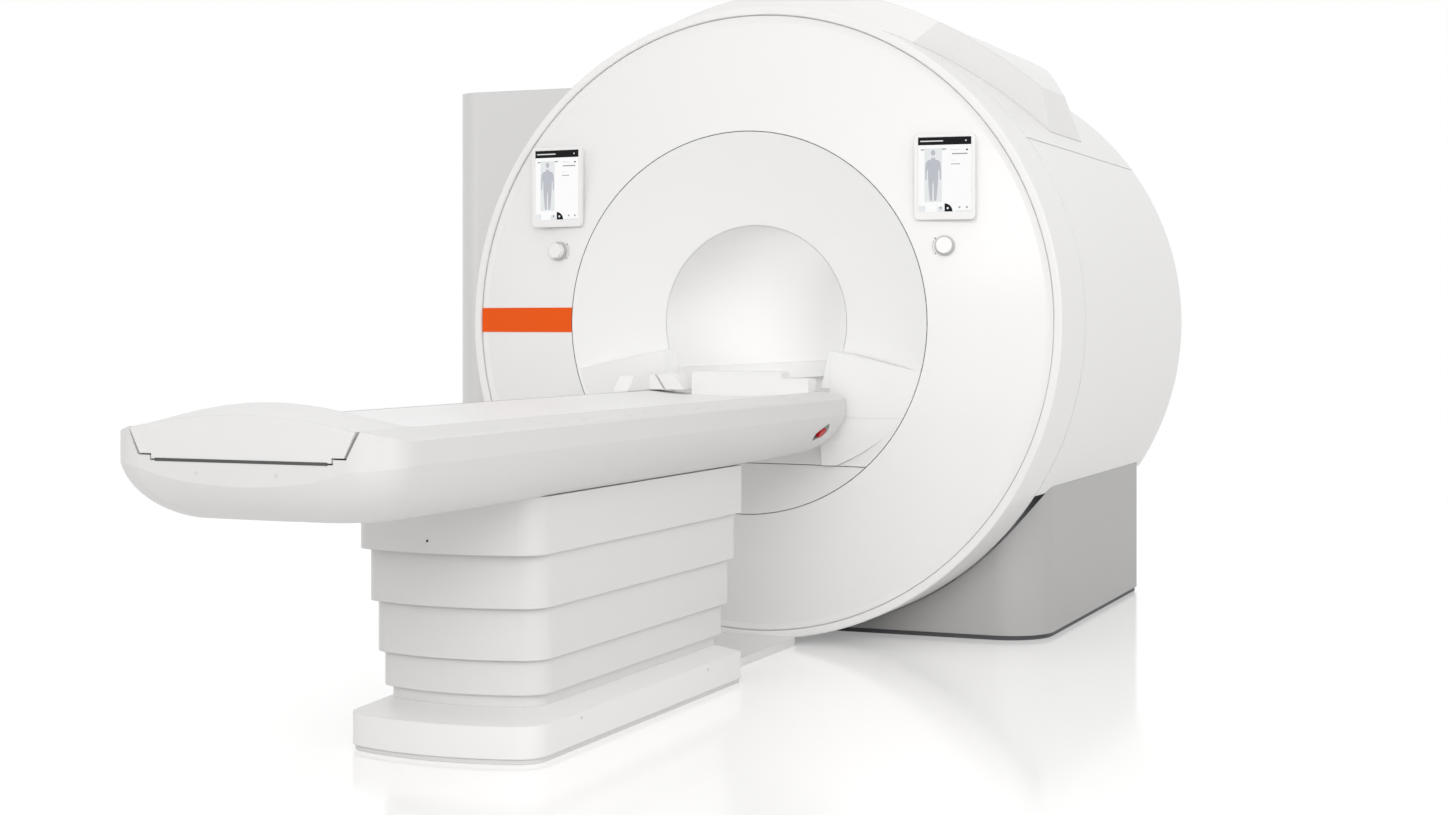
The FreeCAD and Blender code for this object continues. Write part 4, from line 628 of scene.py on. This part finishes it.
# Name, place, target, width, height and power in watts.
ROOM_LAMPS = (
    ("key", (2.5, -7.5, 3.2), (0, 0, 0.6), 4, 3, 157),
    ("top", (0.5, -2.0, 7.5), (0, -1.0, 0.8), 4, 4, 42),
    ("right", (6.5, -3.0, 3.0), (0.5, 0, 0.8), 4, 4, 23),
    ("left", (-6.0, -5.0, 1.5), (-0.5, -1.0, 0.8), 3, 2, 20),
    ("low", (3.4, -3.4, 0.8), (0.2, -0.2, 0.4), 1.6, 0.8, 7),
    ("rear", (4.5, 3.5, 4.5), (0.5, 1.0, 1.2), 4, 4, 24),
)
BORE_SIDE_HEIGHT = 1.02
BORE_SIDE_FORWARD = 0.12  # in front of the bore's middle
BORE_SIDE_OUT = 0.9  # of the liner's half width
BORE_REAR_HEIGHT = 1.0
BORE_REAR_BEHIND = 0.8


def area_lamp(name, place, target, width, height, power):
    data = bpy.data.lights.new(name, "AREA")
    data.shape = "RECTANGLE"
    data.size = width
    data.size_y = height
    data.energy = power
    lamp = bpy.data.objects.new(name, data)
    lamp.location = place
    lamp.rotation_euler = (Vector(target) - Vector(place)).to_track_quat("-Z", "Y").to_euler()
    bpy.context.scene.collection.objects.link(lamp)


def build_lamps():
    """Soft lamps in front, above, beside, low down and behind, and two that fill the bore."""
    for lamp in ROOM_LAMPS:
        area_lamp(*lamp)
    low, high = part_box("bore_liner")
    out = high.x * BORE_SIDE_OUT
    station = ((low + high) / 2).y - BORE_SIDE_FORWARD
    area_lamp("bore_side", (out, station, BORE_SIDE_HEIGHT), (-1, station, BORE_SIDE_HEIGHT),
              width=1.1, height=0.3, power=2.5)
    area_lamp("bore_rear", (0, high.y + BORE_REAR_BEHIND, BORE_REAR_HEIGHT),
              (0, low.y, BORE_REAR_HEIGHT), width=0.6, height=0.5, power=1.8)


# ---------------------------------------------------------------- scene

build_camera()
looks = build_materials()
dress_nodes(looks)
shade_seams(looks["seam"])
build_screws(looks)
build_foot_slot_shadow(looks)
build_rail_marks(looks)
build_pages(looks)
build_knob_marks(looks)
build_floor()
build_world()
build_lamps()

bpy.context.scene.view_settings.view_transform = "Standard"
